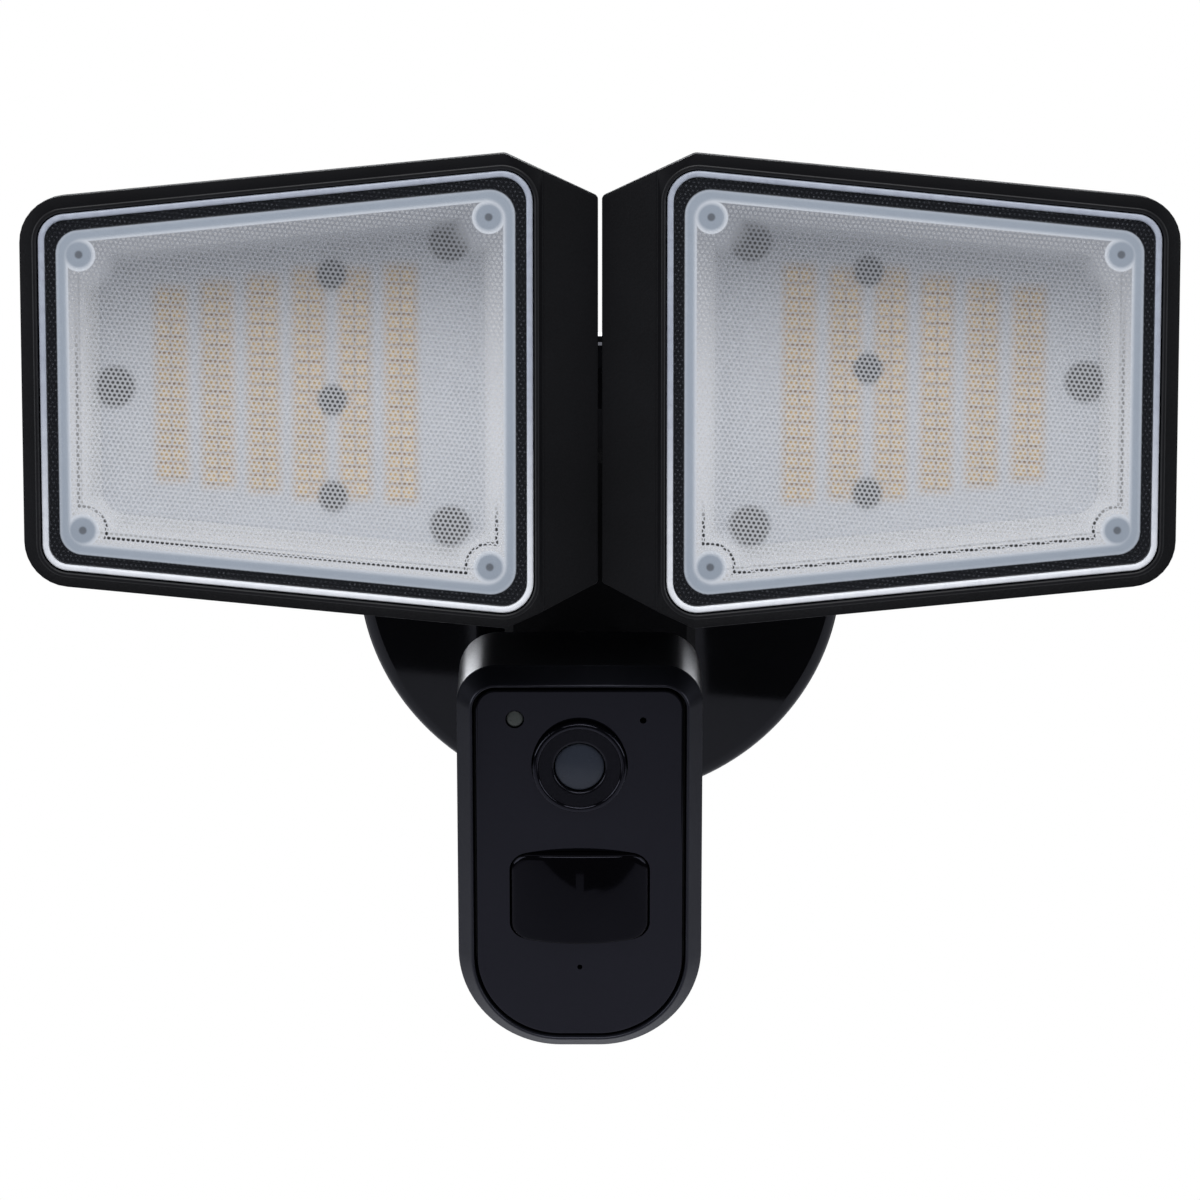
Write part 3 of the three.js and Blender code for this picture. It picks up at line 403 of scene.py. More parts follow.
# ------------------------------------------------------------------ mesh helpers (mm in, metres out)
def outline(corners, steps=8):
    """closed outline with rounded corners from [x, z, r]; steps may be given per corner as a fourth number"""
    n, out = len(corners), []
    for i, c in enumerate(corners):
        x, z, r = c[:3]
        k_steps = c[3] if len(c) > 3 else steps
        p = np.array([x, z], float)
        a = np.array(corners[i - 1][:2], float) - p
        b = np.array(corners[(i + 1) % n][:2], float) - p
        a /= np.linalg.norm(a)
        b /= np.linalg.norm(b)
        half = math.acos(max(-1, min(1, float(a @ b)))) / 2
        mid = a + b
        mid /= np.linalg.norm(mid)
        c0 = p + mid * (r / math.sin(half))
        t = r / math.tan(half)
        s, e = p + a * t - c0, p + b * t - c0
        a0 = math.atan2(s[1], s[0])
        da = math.atan2(e[1], e[0]) - a0
        da = (da + math.pi) % (2 * math.pi) - math.pi
        for k in range(k_steps + 1):
            w = a0 + da * k / k_steps
            out.append((c0[0] + r * math.cos(w), c0[1] + r * math.sin(w)))
    return out


def ring4(x0, x1, half, r0, r1, steps=8):
    return outline([[x0, -half(x0), r0], [x1, -half(x1), r1], [x1, half(x1), r1], [x0, half(x0), r0]], steps)


def ring4as6(x0, x1, half, r0, r1, steps=8):
    """four-cornered ring with as many points as the six-cornered casing: each inner corner is two"""
    pts = outline([[x0, -half(x0), r0, 2 * steps + 1], [x1, -half(x1), r1, steps], [x1, half(x1), r1, steps], [x0, half(x0), r0, 2 * steps + 1]], steps)
    return pts


def rim_ring(d, steps=8, six=False, r0=8.0, r1=7.0):
    f = ring4as6 if six else ring4
    return f(RIM_X0 + d, RIM_X1 - d, lambda x: rim_half(x) - d, max(r0 - d, 1.2), max(r1 - d, 1.2), steps)


def hex_ring(d, steps=8):
    return outline([[INNER_X + d, -INNER_H + d * 0.6, 1.5], [APEX_X + d * 0.2, -half_at(APEX_X) + d, 3], [OUTER_X - d, -half_at(OUTER_X) + d, 12 - min(d, 6) * 0.5],
                    [OUTER_X - d, half_at(OUTER_X) - d, 12 - min(d, 6) * 0.5], [APEX_X + d * 0.2, half_at(APEX_X) - d, 3], [INNER_X + d, INNER_H - d * 0.6, 1.5]], steps)


def waist_ring(d=0.0, steps=8):
    return outline([[APEX_X - 10 + d, -half_at(APEX_X) + 4.6 + d * 0.5, 2], [APEX_X, -half_at(APEX_X) + d, 3], [OUTER_X - d, -half_at(OUTER_X) + d, 12 - d],
                    [OUTER_X - d, half_at(OUTER_X) - d, 12 - d], [APEX_X, half_at(APEX_X) - d, 3], [APEX_X - 10 + d, half_at(APEX_X) - 4.6 - d * 0.5, 2]], steps)


def loft(rings, cap0=False, cap1=False, closed=False):
    n = len(rings[0][0])
    verts, faces = [], []
    for pts, d in rings:
        assert len(pts) == n, (len(pts), n)
        for i, (x, z) in enumerate(pts):
            verts.append((x, d[i] if isinstance(d, (list, tuple, np.ndarray)) else d, z))
    m = len(rings)
    pairs = [(i, i + 1) for i in range(m - 1)] + ([(m - 1, 0)] if closed else [])
    for i, j in pairs:
        for k in range(n):
            faces.append((i * n + k, i * n + (k + 1) % n, j * n + (k + 1) % n, j * n + k))
    if cap0:
        faces.append(tuple(range(n))[::-1])
    if cap1:
        faces.append(tuple((m - 1) * n + k for k in range(n)))
    return verts, faces


def circle(r, seg, x=0.0, z=0.0):
    return [(x + r * math.cos(2 * math.pi * k / seg), z + r * math.sin(2 * math.pi * k / seg)) for k in range(seg)]


def lathe(profile, seg=96, x=0.0, z=0.0, closed=False):
    return loft([(circle(r, seg, x, z), d) for r, d in profile], not closed, not closed, closed)


def box_mesh(x0, x1, y0, y1, z0, z1):
    v = [(x, y, z) for x in (x0, x1) for y in (y0, y1) for z in (z0, z1)]
    f = [(0, 1, 3, 2), (4, 6, 7, 5), (0, 4, 5, 1), (2, 3, 7, 6), (0, 2, 6, 4), (1, 5, 7, 3)]
    return v, f


def merge(parts):
    verts, faces = [], []
    for v, f in parts:
        o = len(verts)
        verts += list(v)
        faces += [tuple(i + o for i in g) for g in f]
    return verts, faces


def raw(name, verts, faces, xf=None):
    v = np.asarray(verts, float)
    if xf is not None:
        v = xf(v)
    me = bpy.data.meshes.new(name)
    me.from_pydata((v * 0.001).tolist(), [], [tuple(f) for f in faces])
    bm = bmesh.new()
    bm.from_mesh(me)
    bmesh.ops.recalc_face_normals(bm, faces=bm.faces)
    bm.to_mesh(me)
    bm.free()
    ob = bpy.data.objects.new(name, me)
    scene.collection.objects.link(ob)
    return ob


def shade(ob, angle=32.0):
    me = ob.data
    me.polygons.foreach_set("use_smooth", [True] * len(me.polygons))
    me.set_sharp_from_angle(angle=math.radians(angle))


def carve(ob, cutters, op="DIFFERENCE"):
    for c in cutters:
        m = ob.modifiers.new("cut", "BOOLEAN")
        m.operation = op
        m.solver = "EXACT"
        m.object = c
    dg = bpy.context.evaluated_depsgraph_get()
    me = bpy.data.meshes.new_from_object(ob.evaluated_get(dg))
    ob.modifiers.clear()
    ob.data = me
    for c in cutters:
        bpy.data.objects.remove(c)
    return ob


def dress(ob, body, mats, replaces=(), angle=32.0, bevel=0.0, segs=2):
    mats = mats if isinstance(mats, (list, tuple)) else [mats]
    ob.data.materials.clear()
    for m in mats:
        ob.data.materials.append(m)
    shade(ob, angle)
    if bevel:
        b = ob.modifiers.new("edge", "BEVEL")
        b.width = bevel * 0.001
        b.segments = segs
        b.limit_method = "ANGLE"
        b.angle_limit = math.radians(angle)
        b.harden_normals = True
    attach(ob, body)
    if replaces:
        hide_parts(*replaces)
    return ob


def piece(name, vf, body, mats, replaces=(), xf=None, angle=32.0, bevel=0.0, segs=2):
    return dress(raw(name, vf[0], vf[1], xf), body, mats, replaces, angle, bevel, segs)


def cad(node, mat, bevel=0.0, segs=2, angle=30.0):
    """a CAD node kept as it is, with its own finish and, where useful, a fine edge break"""
    ob = NODES[node]
    if not ob.material_slots:
        ob.data.materials.append(mat)
    for s in ob.material_slots:
        s.material = mat
    if bevel:
        w = ob.modifiers.new("weld", "WELD")
        w.merge_threshold = 0.00001
        b = ob.modifiers.new("edge", "BEVEL")
        b.width = bevel * 0.001
        b.segments = segs
        b.limit_method = "ANGLE"
        b.angle_limit = math.radians(angle)
        b.harden_normals = False
    return ob


def head_xf(side):
    s = 1.0 if side == "right" else -1.0
    c, t = math.cos(HEAD_TILT), math.sin(HEAD_TILT)

    def f(v):
        x, d, z = s * v[:, 0], v[:, 1], s * v[:, 2]
        return np.stack([x, d * c + z * t + HEAD_Y, -d * t + z * c + HEAD_Z], 1)

    return f


def aim_xf(v):
    c, t = math.cos(HEAD_TILT), math.sin(HEAD_TILT)
    return np.stack([v[:, 0], v[:, 1] * c + v[:, 2] * t + HEAD_Y, -v[:, 1] * t + v[:, 2] * c + HEAD_Z], 1)


def pod_xf(v):
    return v + np.array([POD_X, POD_FACE, POD_ZC])


def distance_to(poly, pts):
    """signed distance of points to a closed outline, negative inside"""
    p = np.asarray(poly, float)
    q = np.roll(p, -1, 0)
    best = np.full(len(pts), 1e9)
    inside = np.zeros(len(pts), bool)
    for a, b in zip(p, q):
        ab = b - a
        L = float(ab @ ab)
        if L < 1e-12:
            continue
        t = np.clip(((pts - a) @ ab) / L, 0, 1)
        d = np.linalg.norm(pts - a - t[:, None] * ab, axis=1)
        best = np.minimum(best, d)
        if a[1] != b[1]:
            hit = ((a[1] > pts[:, 1]) != (b[1] > pts[:, 1])) & (pts[:, 0] < (b[0] - a[0]) * (pts[:, 1] - a[1]) / (b[1] - a[1]) + a[0])
            inside ^= hit
    return np.where(inside, -best, best)


def prism_sheet(outer, cell_x, cell_z, tilt):
    """hexagonal prism sheet clipped to an outline: returns points, front triangles, back hexagons, dot weights"""
    rx, rz = cell_x / math.sqrt(3), cell_z * 2 / 3
    xs = [p[0] for p in outer]
    zs = [p[1] for p in outer]
    cx, cz = (min(xs) + max(xs)) / 2, (min(zs) + max(zs)) / 2
    span = max(max(xs) - min(xs), max(zs) - min(zs)) / 2 * 1.25
    nx, nz = int(span / cell_x) + 2, int(span / cell_z) + 2
    ct, st = math.cos(tilt), math.sin(tilt)
    centres, keys = [], []
    for j in range(-nz, nz + 1):
        for i in range(-nx, nx + 1):
            centres.append((cell_x * (i + 0.5 * (j % 2)), cell_z * j))
            keys.append((2 * i + (j % 2), j))
    centres = np.array(centres)
    rot = lambda a: np.stack([a[:, 0] * ct - a[:, 1] * st + cx, a[:, 0] * st + a[:, 1] * ct + cz], 1)
    keep = distance_to(outer, rot(centres)) < 0.0
    # hexagon corners, pointy top: offsets in half cells and thirds of a row
    offs = [(0, 2), (-1, 1), (-1, -1), (0, -2), (1, -1), (1, 1)]
    index, pts, tris, hexes, dot = {}, [], [], [], []
    for (hx, hz), c, k in zip(keys, centres, keep):
        if not k:
            continue
        ids = []
        for ox, oz in offs:
            key = (hx + ox, 3 * hz + oz)
            if key not in index:
                index[key] = len(pts)
                pts.append((key[0] * cell_x / 2, key[1] * cell_z / 3))
                dot.append(0.0)
            ids.append(index[key])
        m = len(pts)
        pts.append((c[0], c[1]))
        dot.append(1.0)
        for a in range(6):
            tris.append((m, ids[a], ids[(a + 1) % 6]))
        hexes.append(tuple(ids))
    return rot(np.array(pts)), tris, hexes, np.array(dot)


def boundary(tris):
    count = {}
    for t in tris:
        for a, b in ((t[0], t[1]), (t[1], t[2]), (t[2], t[0])):
            count[(a, b)] = count.get((a, b), 0) + 1
    return [(a, b) for (a, b) in count if (b, a) not in count]


# cross-recessed screw, head towards -depth, made once for each size
def screw_mesh(rh, rs, t, length, seg=32, pan=True):
    prof = [(rh * 0.30, -t), (rh * 0.55, -t * 0.985), (rh * 0.80, -t * 0.86), (rh * 0.94, -t * 0.62), (rh, -t * 0.30), (rh, 0.0), (rs, 0.0), (rs, length)]
    if not pan:
        prof = [(rh * 0.9, -t), (rh, -t * 0.85), (rh, 0.0), (rs, 0.0), (rs, length)]
    ob = raw("screw_tmp", *lathe(prof, seg))
    w, l, dp = rh * 0.15, rh * 0.62, t * 0.62
    a = raw("cut_a", *box_mesh(-w, w, -t - 1, -t + dp, -l, l))
    b = raw("cut_b", *box_mesh(-l, l, -t - 1, -t + dp, -w, w))
    carve(ob, [a, b])
    v = [tuple(np.array(x.co) * 1000) for x in ob.data.vertices]
    f = [tuple(p.vertices) for p in ob.data.polygons]
    bpy.data.objects.remove(ob)
    return v, f


def placed(vf, x, d, z):
    return [(a + x, b + d, c + z) for a, b, c in vf[0]], vf[1]


SCREW_BIG = screw_mesh(4.4, 2.0, 2.6, 9.0)
SCREW_SMALL = screw_mesh(3.1, 1.5, 2.0, 7.0)
SCREW_CANOPY = screw_mesh(3.9, 1.8, 2.5, 10.2)
SCREW_BOX = screw_mesh(4.3, 2.1, 2.6, 2.5)

# ------------------------------------------------------------------ floodlight heads
for side in ("left", "right"):
    xf, body = head_xf(side), f"head_{side}"
    # casing: ridge round the lens, bevel, six-sided walls with a parting line, drafted back, and the cavity
    S = 8
    rr = lambda d, dep: (rim_ring(d, S, True, 8.0, 7.0), dep)
    outer = [
        rr(-0.35, 4.2), rr(-0.35, 0.42), rr(-0.50, 0.16), rr(-0.75, 0.0), rr(-1.25, 0.0), rr(-1.50, 0.12), rr(-1.62, 0.32),
        (waist_ring(0.45, S), BEVEL_DEPTH - 0.32), (waist_ring(0.12, S), BEVEL_DEPTH - 0.08), (waist_ring(0.0, S), BEVEL_DEPTH + 0.35),
        (hex_ring(0.12, S), INNER_DEPTH - 0.4), (hex_ring(0.0, S), INNER_DEPTH + 0.1), (hex_ring(0.05, S), INNER_DEPTH + 0.8),
        (hex_ring(0.55, S), 15.4), (hex_ring(0.95, S), 15.5), (hex_ring(0.95, S), 16.2), (hex_ring(0.60, S), 16.3),
        (hex_ring(3.0, S), HEAD_DEPTH - 3.6), (hex_ring(3.5, S), HEAD_DEPTH - 2.2), (hex_ring(4.4, S), HEAD_DEPTH - 0.9), (hex_ring(6.0, S), HEAD_DEPTH - 0.15), (hex_ring(7.0, S), HEAD_DEPTH), (hex_ring(7.4, S), HEAD_DEPTH),
    ]
    inner = [
        (hex_ring(9.0, S), HEAD_DEPTH - 2.6), (hex_ring(6.2, S), HEAD_DEPTH - 5), (hex_ring(3.4, S), INNER_DEPTH + 1),
        (ring4as6(RIM_X0 + 3, RIM_X1 - 3, lambda x: rim_half(x) - 3, 5, 4.5, S), 5.1), (ring4as6(RIM_X0 + 3, RIM_X1 - 3, lambda x: rim_half(x) - 3, 5, 4.5, S), 4.6), rr(-0.35, 4.6),
    ]
    vo, fo = loft(outer, False, True)
    vi, fi = loft(inner, True, False)
    n = len(outer[0][0])
    o = len(vo)
    faces = fo + [tuple(i + o for i in f) for f in fi]
    last = o + (len(inner) - 1) * n
    faces += [(last + k, last + (k + 1) % n, (k + 1) % n, k) for k in range(n)]
    shell = raw(f"head_shell_{side}", vo + vi, faces, xf)
    # ventilation ribs in the back, above and below the bracket
    if True:
        ribs = []
        for x in [74 + 6.0 * i for i in range(11)]:
            h = half_at(x) - 22
            ribs.append(raw("rib", *merge([loft([(outline([[x - 1.3, -h, 1.2], [x + 1.3, -h, 1.2], [x + 1.3, h, 1.2], [x - 1.3, h, 1.2]], 3), HEAD_DEPTH - 1.1), (outline([[x - 1.6, -h - 0.3, 1.4], [x + 1.6, -h - 0.3, 1.4], [x + 1.6, h + 0.3, 1.4], [x - 1.6, h + 0.3, 1.4]], 3), HEAD_DEPTH + 1)], True, True)]), xf=xf))
        carve(shell, ribs)
    dress(shell, body, [M["matte"], M["ridge"]], (f"head_housing_{side}",), angle=24)
    # the thin ridge round the lens is a touch smoother
    me = shell.data
    c, t = math.cos(HEAD_TILT), math.sin(HEAD_TILT)
    for poly in me.polygons:
        co = np.mean([me.vertices[i].co for i in poly.vertices], 0) * 1000
        dy, dz = co[1] - HEAD_Y, co[2] - HEAD_Z
        dep, z, x = dy * c - dz * t, dy * t + dz * c, abs(co[0])
        if dep < 0.34:
            poly.material_index = 1

    # lens flange: raised, light-catching rim
    g = lambda d, dep: (rim_ring(d, 10), dep)
    flange = loft([g(0.0, 2.9), g(0.0, 0.75), g(0.18, 0.50), g(0.45, 0.40), g(1.15, 0.40), g(1.42, 0.52), g(1.6, 0.80), g(1.7, 1.35), g(1.7, 3.05), g(0.2, 3.05)], closed=True)
    piece(f"lens_rim_{side}", flange, body, M["rim"], (), xf, angle=40)

    # prismatic window with the dark band and the pale border round it
    pts, tris, hexes, dot = prism_sheet(rim_ring(0.55, 10), 1.26, 1.09, math.radians(-5) * 1)
    sdb = distance_to(rim_ring(BORDER_OUT, 10, False, 11.0, 10.5), pts)
    sdw = distance_to(rim_ring(WINDOW_IN, 10, False, 12.0, 11.5), pts)
    near = np.min([np.hypot(pts[:, 0] - x, pts[:, 1] - z) for x, z in POSTS], 0)
    sdw2 = np.maximum(sdw, NOTCH_R - near)
    relief = np.where(sdb > 0, 0.7, np.clip(-sdw2 / 0.8, 0, 1))
    depth = 1.10 - 0.20 * relief * dot
    nv = len(pts)
    verts = np.concatenate([np.stack([pts[:, 0], depth, pts[:, 1]], 1), np.stack([pts[:, 0], np.full(nv, 2.7), pts[:, 1]], 1)])
    faces = [tuple(t_) for t_ in tris] + [tuple(i + nv for i in reversed(h)) for h in hexes]
    edge = boundary(tris)
    faces += [(b, a, a + nv, b + nv) for a, b in edge]
    # the back needs no middle points
    used = np.zeros(2 * nv, bool)
    for f in faces:
        used[list(f)] = True
    remap = np.cumsum(used) - 1
    verts = verts[used]
    faces = [tuple(int(remap[i]) for i in f) for f in faces]
    me = bpy.data.meshes.new(f"lens_window_{side}")
    me.from_pydata((xf(verts) * 0.001).tolist(), [], faces)
    me.update()
    ob = bpy.data.objects.new(f"lens_window_{side}", me)
    scene.collection.objects.link(ob)
    full = lambda a: np.concatenate([a, a])[used].astype(np.float32)
    for key, arr in (("sdb", sdb), ("sdw", sdw), ("dot", dot)):
        at = me.attributes.new(key, "FLOAT", "POINT")
        at.data.foreach_set("value", full(arr))
    at = me.attributes.new("hp", "FLOAT_VECTOR", "POINT")
    at.data.foreach_set("vector", np.stack([verts[:, 0], np.zeros(len(verts)), verts[:, 2]], 1).astype(np.float32).ravel())
    me.materials.append(M["lens"])
    me.materials.append(M["clear"])
    nt_, nh = len(tris), len(hexes)
    idx = np.zeros(len(faces), np.int32)
    idx[nt_:] = 1
    me.polygons.foreach_set("material_index", idx)
    me.polygons.foreach_set("use_smooth", [i < nt_ for i in range(len(faces))])
    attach(ob, body)
    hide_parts(f"head_lens_{side}")

    cad(f"lens_gasket_{side}", M["rubber"])

    # reflector tray: rolled flange, sloped walls, screw posts in the corners
    T0, T1 = LENS_FRONT + LENS_T + 1.75, BOARD_DEPTH - 0.35
    tr = lambda d, dep, ra=7.0, rb=6.4: (rim_ring(d, 8, False, ra + d, rb + d), dep)
    tray = loft([tr(4.4, T0 + 0.2), tr(4.6, T0), tr(7.3, T0), tr(7.8, T0 + 0.25), tr(8.1, T0 + 0.9), tr(11.8, T1 - 2.5), tr(13.0, T1), tr(10.6, T1), tr(6.6, T0 + 2.4), tr(4.4, T0 + 1.4)], closed=True)
    piece(f"reflector_tray_{side}", tray, body, M["white"], (f"reflector_{side}",), xf, angle=28)
    # painted shade: thin black strips on the tray stand in for the shade in the gap along its low and outer edges
    low = -1.0 if side == "right" else 1.0
    x_in, x_out = RIM_X0 + 12.5, RIM_X1 - 9.7
    z_at = lambda x: low * (rim_half(x) - 10.0)
    shade_strips = [loft([([(x_in, z_at(x_in) - 0.22), (x_out, z_at(x_out) - 0.22), (x_out, z_at(x_out) + 0.22), (x_in, z_at(x_in) + 0.22)], T0 + 1.4), ([(x_in, z_at(x_in) - 0.22), (x_out, z_at(x_out) - 0.22), (x_out, z_at(x_out) + 0.22), (x_in, z_at(x_in) + 0.22)], T0 + 1.9)], True, True),
            box_mesh(x_out - 0.22, x_out + 0.22, T0 + 1.4, T0 + 1.9, -(rim_half(x_out) - 16.0), rim_half(x_out) - 16.0)]
    piece(f"reflector_shade_strip_{side}", merge(shade_strips), body, M["shade_black"], (), xf)
    for i, (px, pz) in enumerate(POSTS):
        post = lathe([(1.0, T0 - 0.9), (2.4, T0 - 0.9), (2.9, T0 - 0.5), (2.9, 16.0), (1.0, 16.0)], 32, px, pz, True)
        piece(f"reflector_post_{side}_{i + 1}", post, body, M["white"], (), xf)

    # LED board, its six columns of paired emitters, and the screws, with painted shade round them in the board's colour
    board = loft([(rim_ring(8.8, 8, False, 13, 12), BOARD_DEPTH + BOARD_T), (rim_ring(8.8, 8, False, 13, 12), BOARD_DEPTH + 0.1), (rim_ring(8.9, 8, False, 13, 12), BOARD_DEPTH)], True, True)
    ob = piece(f"led_board_plate_{side}", board, body, M["board"], (f"led_board_{side}",), xf)
    loc = np.asarray(board[0], np.float32).copy()
    loc[:, 1] = 0.0
    at = ob.data.attributes.new("hp", "FLOAT_VECTOR", "POINT")
    at.data.foreach_set("vector", loc.ravel())
    cases, glow = [], []
    for x, length in zip(STRIP_X, STRIP_LEN):
        rows = int(length // 3.9)
        for j in range(rows):
            z = (j - (rows - 1) / 2) * length / rows
            for dx in (-1.75, 1.75):
                if any(math.hypot(x + dx - sx, z - sz) < 5.4 for sx, sz in SMALL_SCREWS):
                    continue
                q = lambda h, w: [(x + dx - w, z - h), (x + dx + w, z - h), (x + dx + w, z + h), (x + dx - w, z + h)]
                cases.append(loft([(q(1.62, 1.55), BOARD_DEPTH - 0.02), (q(1.62, 1.55), BOARD_DEPTH - 0.75), (q(1.38, 1.31), BOARD_DEPTH - 0.75), (q(1.30, 1.23), BOARD_DEPTH - 0.5)], True, True))
                glow.append(loft([(q(1.34, 1.27), BOARD_DEPTH - 0.45), (q(1.34, 1.27), BOARD_DEPTH - 0.62), (q(0.9, 0.85), BOARD_DEPTH - 0.70)], True, True))
    piece(f"led_cases_{side}", merge(cases), body, M["chip"], (), xf)
    piece(f"led_phosphor_{side}", merge(glow), body, M["phosphor"], (), xf)
    for kind, places, mesh in (("reflector_screw", BIG_SCREWS, SCREW_BIG), ("board_screw", SMALL_SCREWS, SCREW_SMALL)):
        for i, (px, pz) in enumerate(places):
            piece(f"{kind}_head_{side}_{i + 1}", placed(mesh, px, BOARD_DEPTH - 0.3, pz), body, M["darkscrew"], (f"{kind}_{side}_{i + 1}",), xf, angle=30)

    # knuckle
    cad(f"head_bracket_{side}", M["matte"], 0.5)
    cad(f"tilt_bolt_{side}", M["blackoxide"], 0.35)
    cad(f"tilt_nut_{side}", M["blackoxide"], 0.35)
    cad(f"swivel_arm_{side}", M["matte"], 0.7, 3, 28)
    cad(f"retaining_ring_{side}", M["screw"])

# ------------------------------------------------------------------ wall mount
e, w = 3.4, CANOPY_WALL
arc = [(CANOPY_R - e + e * math.sin(a), CANOPY_FRONT + e - e * math.cos(a)) for a in [math.pi / 2 * k / 10 for k in range(11)]]
canopy = raw("canopy_dish", *lathe([(11.0, CANOPY_FRONT)] + [(r_, CANOPY_FRONT) for r_ in (30.0, 50.0, CANOPY_R - e - 0.35)] + arc + [(CANOPY_R, CANOPY_BACK - 0.3), (CANOPY_R - 0.3, CANOPY_BACK), (CANOPY_R - w, CANOPY_BACK), (CANOPY_R - w, CANOPY_FRONT + w + 0.8), (CANOPY_R - w - 0.8, CANOPY_FRONT + w), (11.0, CANOPY_FRONT + w)], 192, closed=True))
holes = [raw("h", *lathe([(2.2, -20.0), (2.2, 0.0)], 32, s * 52.2, 0.0)) for s in (-1, 1)]
carve(canopy, holes)
dress(canopy, "mount", M["canopy"], ("canopy",), angle=26)
for s, side in ((-1, "left"), (1, "right")):
    piece(f"canopy_boss_{side}", lathe([(2.25, CANOPY_FRONT + w - 0.1), (4.6, CANOPY_FRONT + w - 0.1), (4.6, -4.3), (4.3, -4.0), (2.25, -4.0)], 32, s * 52.2, 0.0, True), "mount", M["canopy"], ())
    piece(f"canopy_screw_head_{side}", placed(SCREW_CANOPY, s * 52.2, CANOPY_FRONT - 0.3, 0), "mount", M["blackoxide"], (f"canopy_screw_{side}",), angle=30)
    piece(f"box_screw_head_{side}", placed(SCREW_BOX, s * 41.95, -2.7, 0), "mount", M["steel"], (f"box_screw_{side}",), angle=30)
cad("wall_gasket", M["foam"])
cad("crossbar", M["steel"], 0.25)
cad("wire_grommet", M["rubber"], 0.4)
cad("hub_housing", M["matte"], 0.8, 3, 30)
cad("driver_board", M["pcb"], 0.3)
cad("camera_pan_pin", M["screw"], 0.3)
cad("camera_turret", M["matte"], 0.5)

# ------------------------------------------------------------------ camera pod
def pod_ring(d, steps=14):
    rt, rb = max(POD_TOP_R - d, 2.5), POD_BOT_R - d
    W_, H_ = POD_W - d, POD_H - d
    return outline([[-W_, -H_, rb, 2 * steps], [W_, -H_, rb, 2 * steps], [W_, H_, rt, steps], [-W_, H_, rt, steps]], steps)


P = lambda d, dep: (pod_ring(d), dep)
bezel = loft([P(4.4, 5.6), P(4.4, 0.40), P(4.28, 0.12), P(4.08, 0.0), P(3.95, 0.0), P(3.72, 0.10), P(3.45, 0.42), P(0.30, 5.05), P(0.06, 5.32), P(0.0, 5.6)], closed=True)
piece("pod_bezel", bezel, "camera_pod", M["satin"], ("camera_bezel",), pod_xf, angle=40)
shell = loft([P(2.4, 5.95), P(0.25, 5.95), P(0.0, 6.2), P(0.0, 34.2), P(0.18, 35.6), P(0.65, 36.8), P(1.4, 37.6), P(2.6, 38.0), P(2.9, 38.0)], False, True)
cav = loft([P(2.4, 35.6), P(2.4, 5.95)], True, False)
n = len(pod_ring(0))
o = len(shell[0])
fs = shell[1] + [tuple(i + o for i in f) for f in cav[1]] + [(o + n + k, o + n + (k + 1) % n, (k + 1) % n, k) for k in range(n)]
# the first outer ring and the last cavity ring share their place: weld them
pod = raw("pod_housing", shell[0] + cav[0], fs, pod_xf)
bm = bmesh.new()
bm.from_mesh(pod.data)
bmesh.ops.remove_doubles(bm, verts=bm.verts, dist=1e-7)
bmesh.ops.recalc_face_normals(bm, faces=bm.faces)
bm.to_mesh(pod.data)
bm.free()
cut = [raw("c", *box_mesh(-11.3, 11.3, 36.5, 39, -33.3, -20.7), xf=pod_xf), raw("c", *box_mesh(-7, 7, 33, 39, -28, -25.4), xf=pod_xf),
       raw("c", *lathe([(2.6, 33), (2.6, 39)], 32, 0, -38.5), xf=pod_xf), raw("c", *lathe([(2.6, 33), (2.6, 39)], 32, 0, 44), xf=pod_xf)]
for gx in (-9, -6, -3, 0, 3, 6, 9):
    cut.append(raw("c", *loft([(outline([[gx - 0.6, -10, 0.55], [gx + 0.6, -10, 0.55], [gx + 0.6, -2, 0.55], [gx - 0.6, -2, 0.55]], 4), 33), (outline([[gx - 0.6, -10, 0.55], [gx + 0.6, -10, 0.55], [gx + 0.6, -2, 0.55], [gx - 0.6, -2, 0.55]], 4), 39)], True, True), xf=pod_xf))
carve(pod, cut)
dress(pod, "camera_pod", M["satin"], ("camera_housing",), angle=34)
EAR_Z, EAR_Y = POD_TILT_Z - POD_ZC, POD_TILT_Y - POD_FACE
for i, (x0, x1) in enumerate(((-8.4, -4.2), (4.2, 8.4))):
    prof = [(EAR_Y + 6.6 * math.cos(a), EAR_Z + 6.6 * math.sin(a)) for a in [math.radians(d) for d in range(-70, 71, 5)]] + [(37.6, EAR_Z + 9.0), (37.6, EAR_Z - 9.0)]
    m = len(prof)
    v = [(x0, a, b) for a, b in prof] + [(x1, a, b) for a, b in prof]
    f = [tuple(range(m))[::-1], tuple(range(m, 2 * m))] + [(k, (k + 1) % m, m + (k + 1) % m, m + k) for k in range(m)]
    ear = raw(f"pod_ear_{i + 1}", v, f, pod_xf)
    hole = raw("h", [(x0 - 1, EAR_Y + 2.6 * math.cos(a), EAR_Z + 2.6 * math.sin(a)) for a in [math.pi * k / 12 for k in range(24)]] + [(x1 + 1, EAR_Y + 2.6 * math.cos(a), EAR_Z + 2.6 * math.sin(a)) for a in [math.pi * k / 12 for k in range(24)]],
               [tuple(range(24))[::-1], tuple(range(24, 48))] + [(k, (k + 1) % 24, 24 + (k + 1) % 24, 24 + k) for k in range(24)], pod_xf)
    carve(ear, [hole])
    dress(ear, "camera_pod", M["satin"], (), angle=30, bevel=0.4)
cad("card_cover", M["rubber"], 0.25)
cad("reset_button", M["rubber"], 0.3)
cad("camera_seal", M["rubber"])

# gloss face plate with its openings
plate = raw("pod_face", *loft([P(PLATE_IN, 2.8), P(PLATE_IN, 0.8), P(PLATE_IN + 0.10, 0.58), P(PLATE_IN + 0.34, 0.5), P(PLATE_IN + 0.50, 0.5)], True, True), xf=pod_xf)


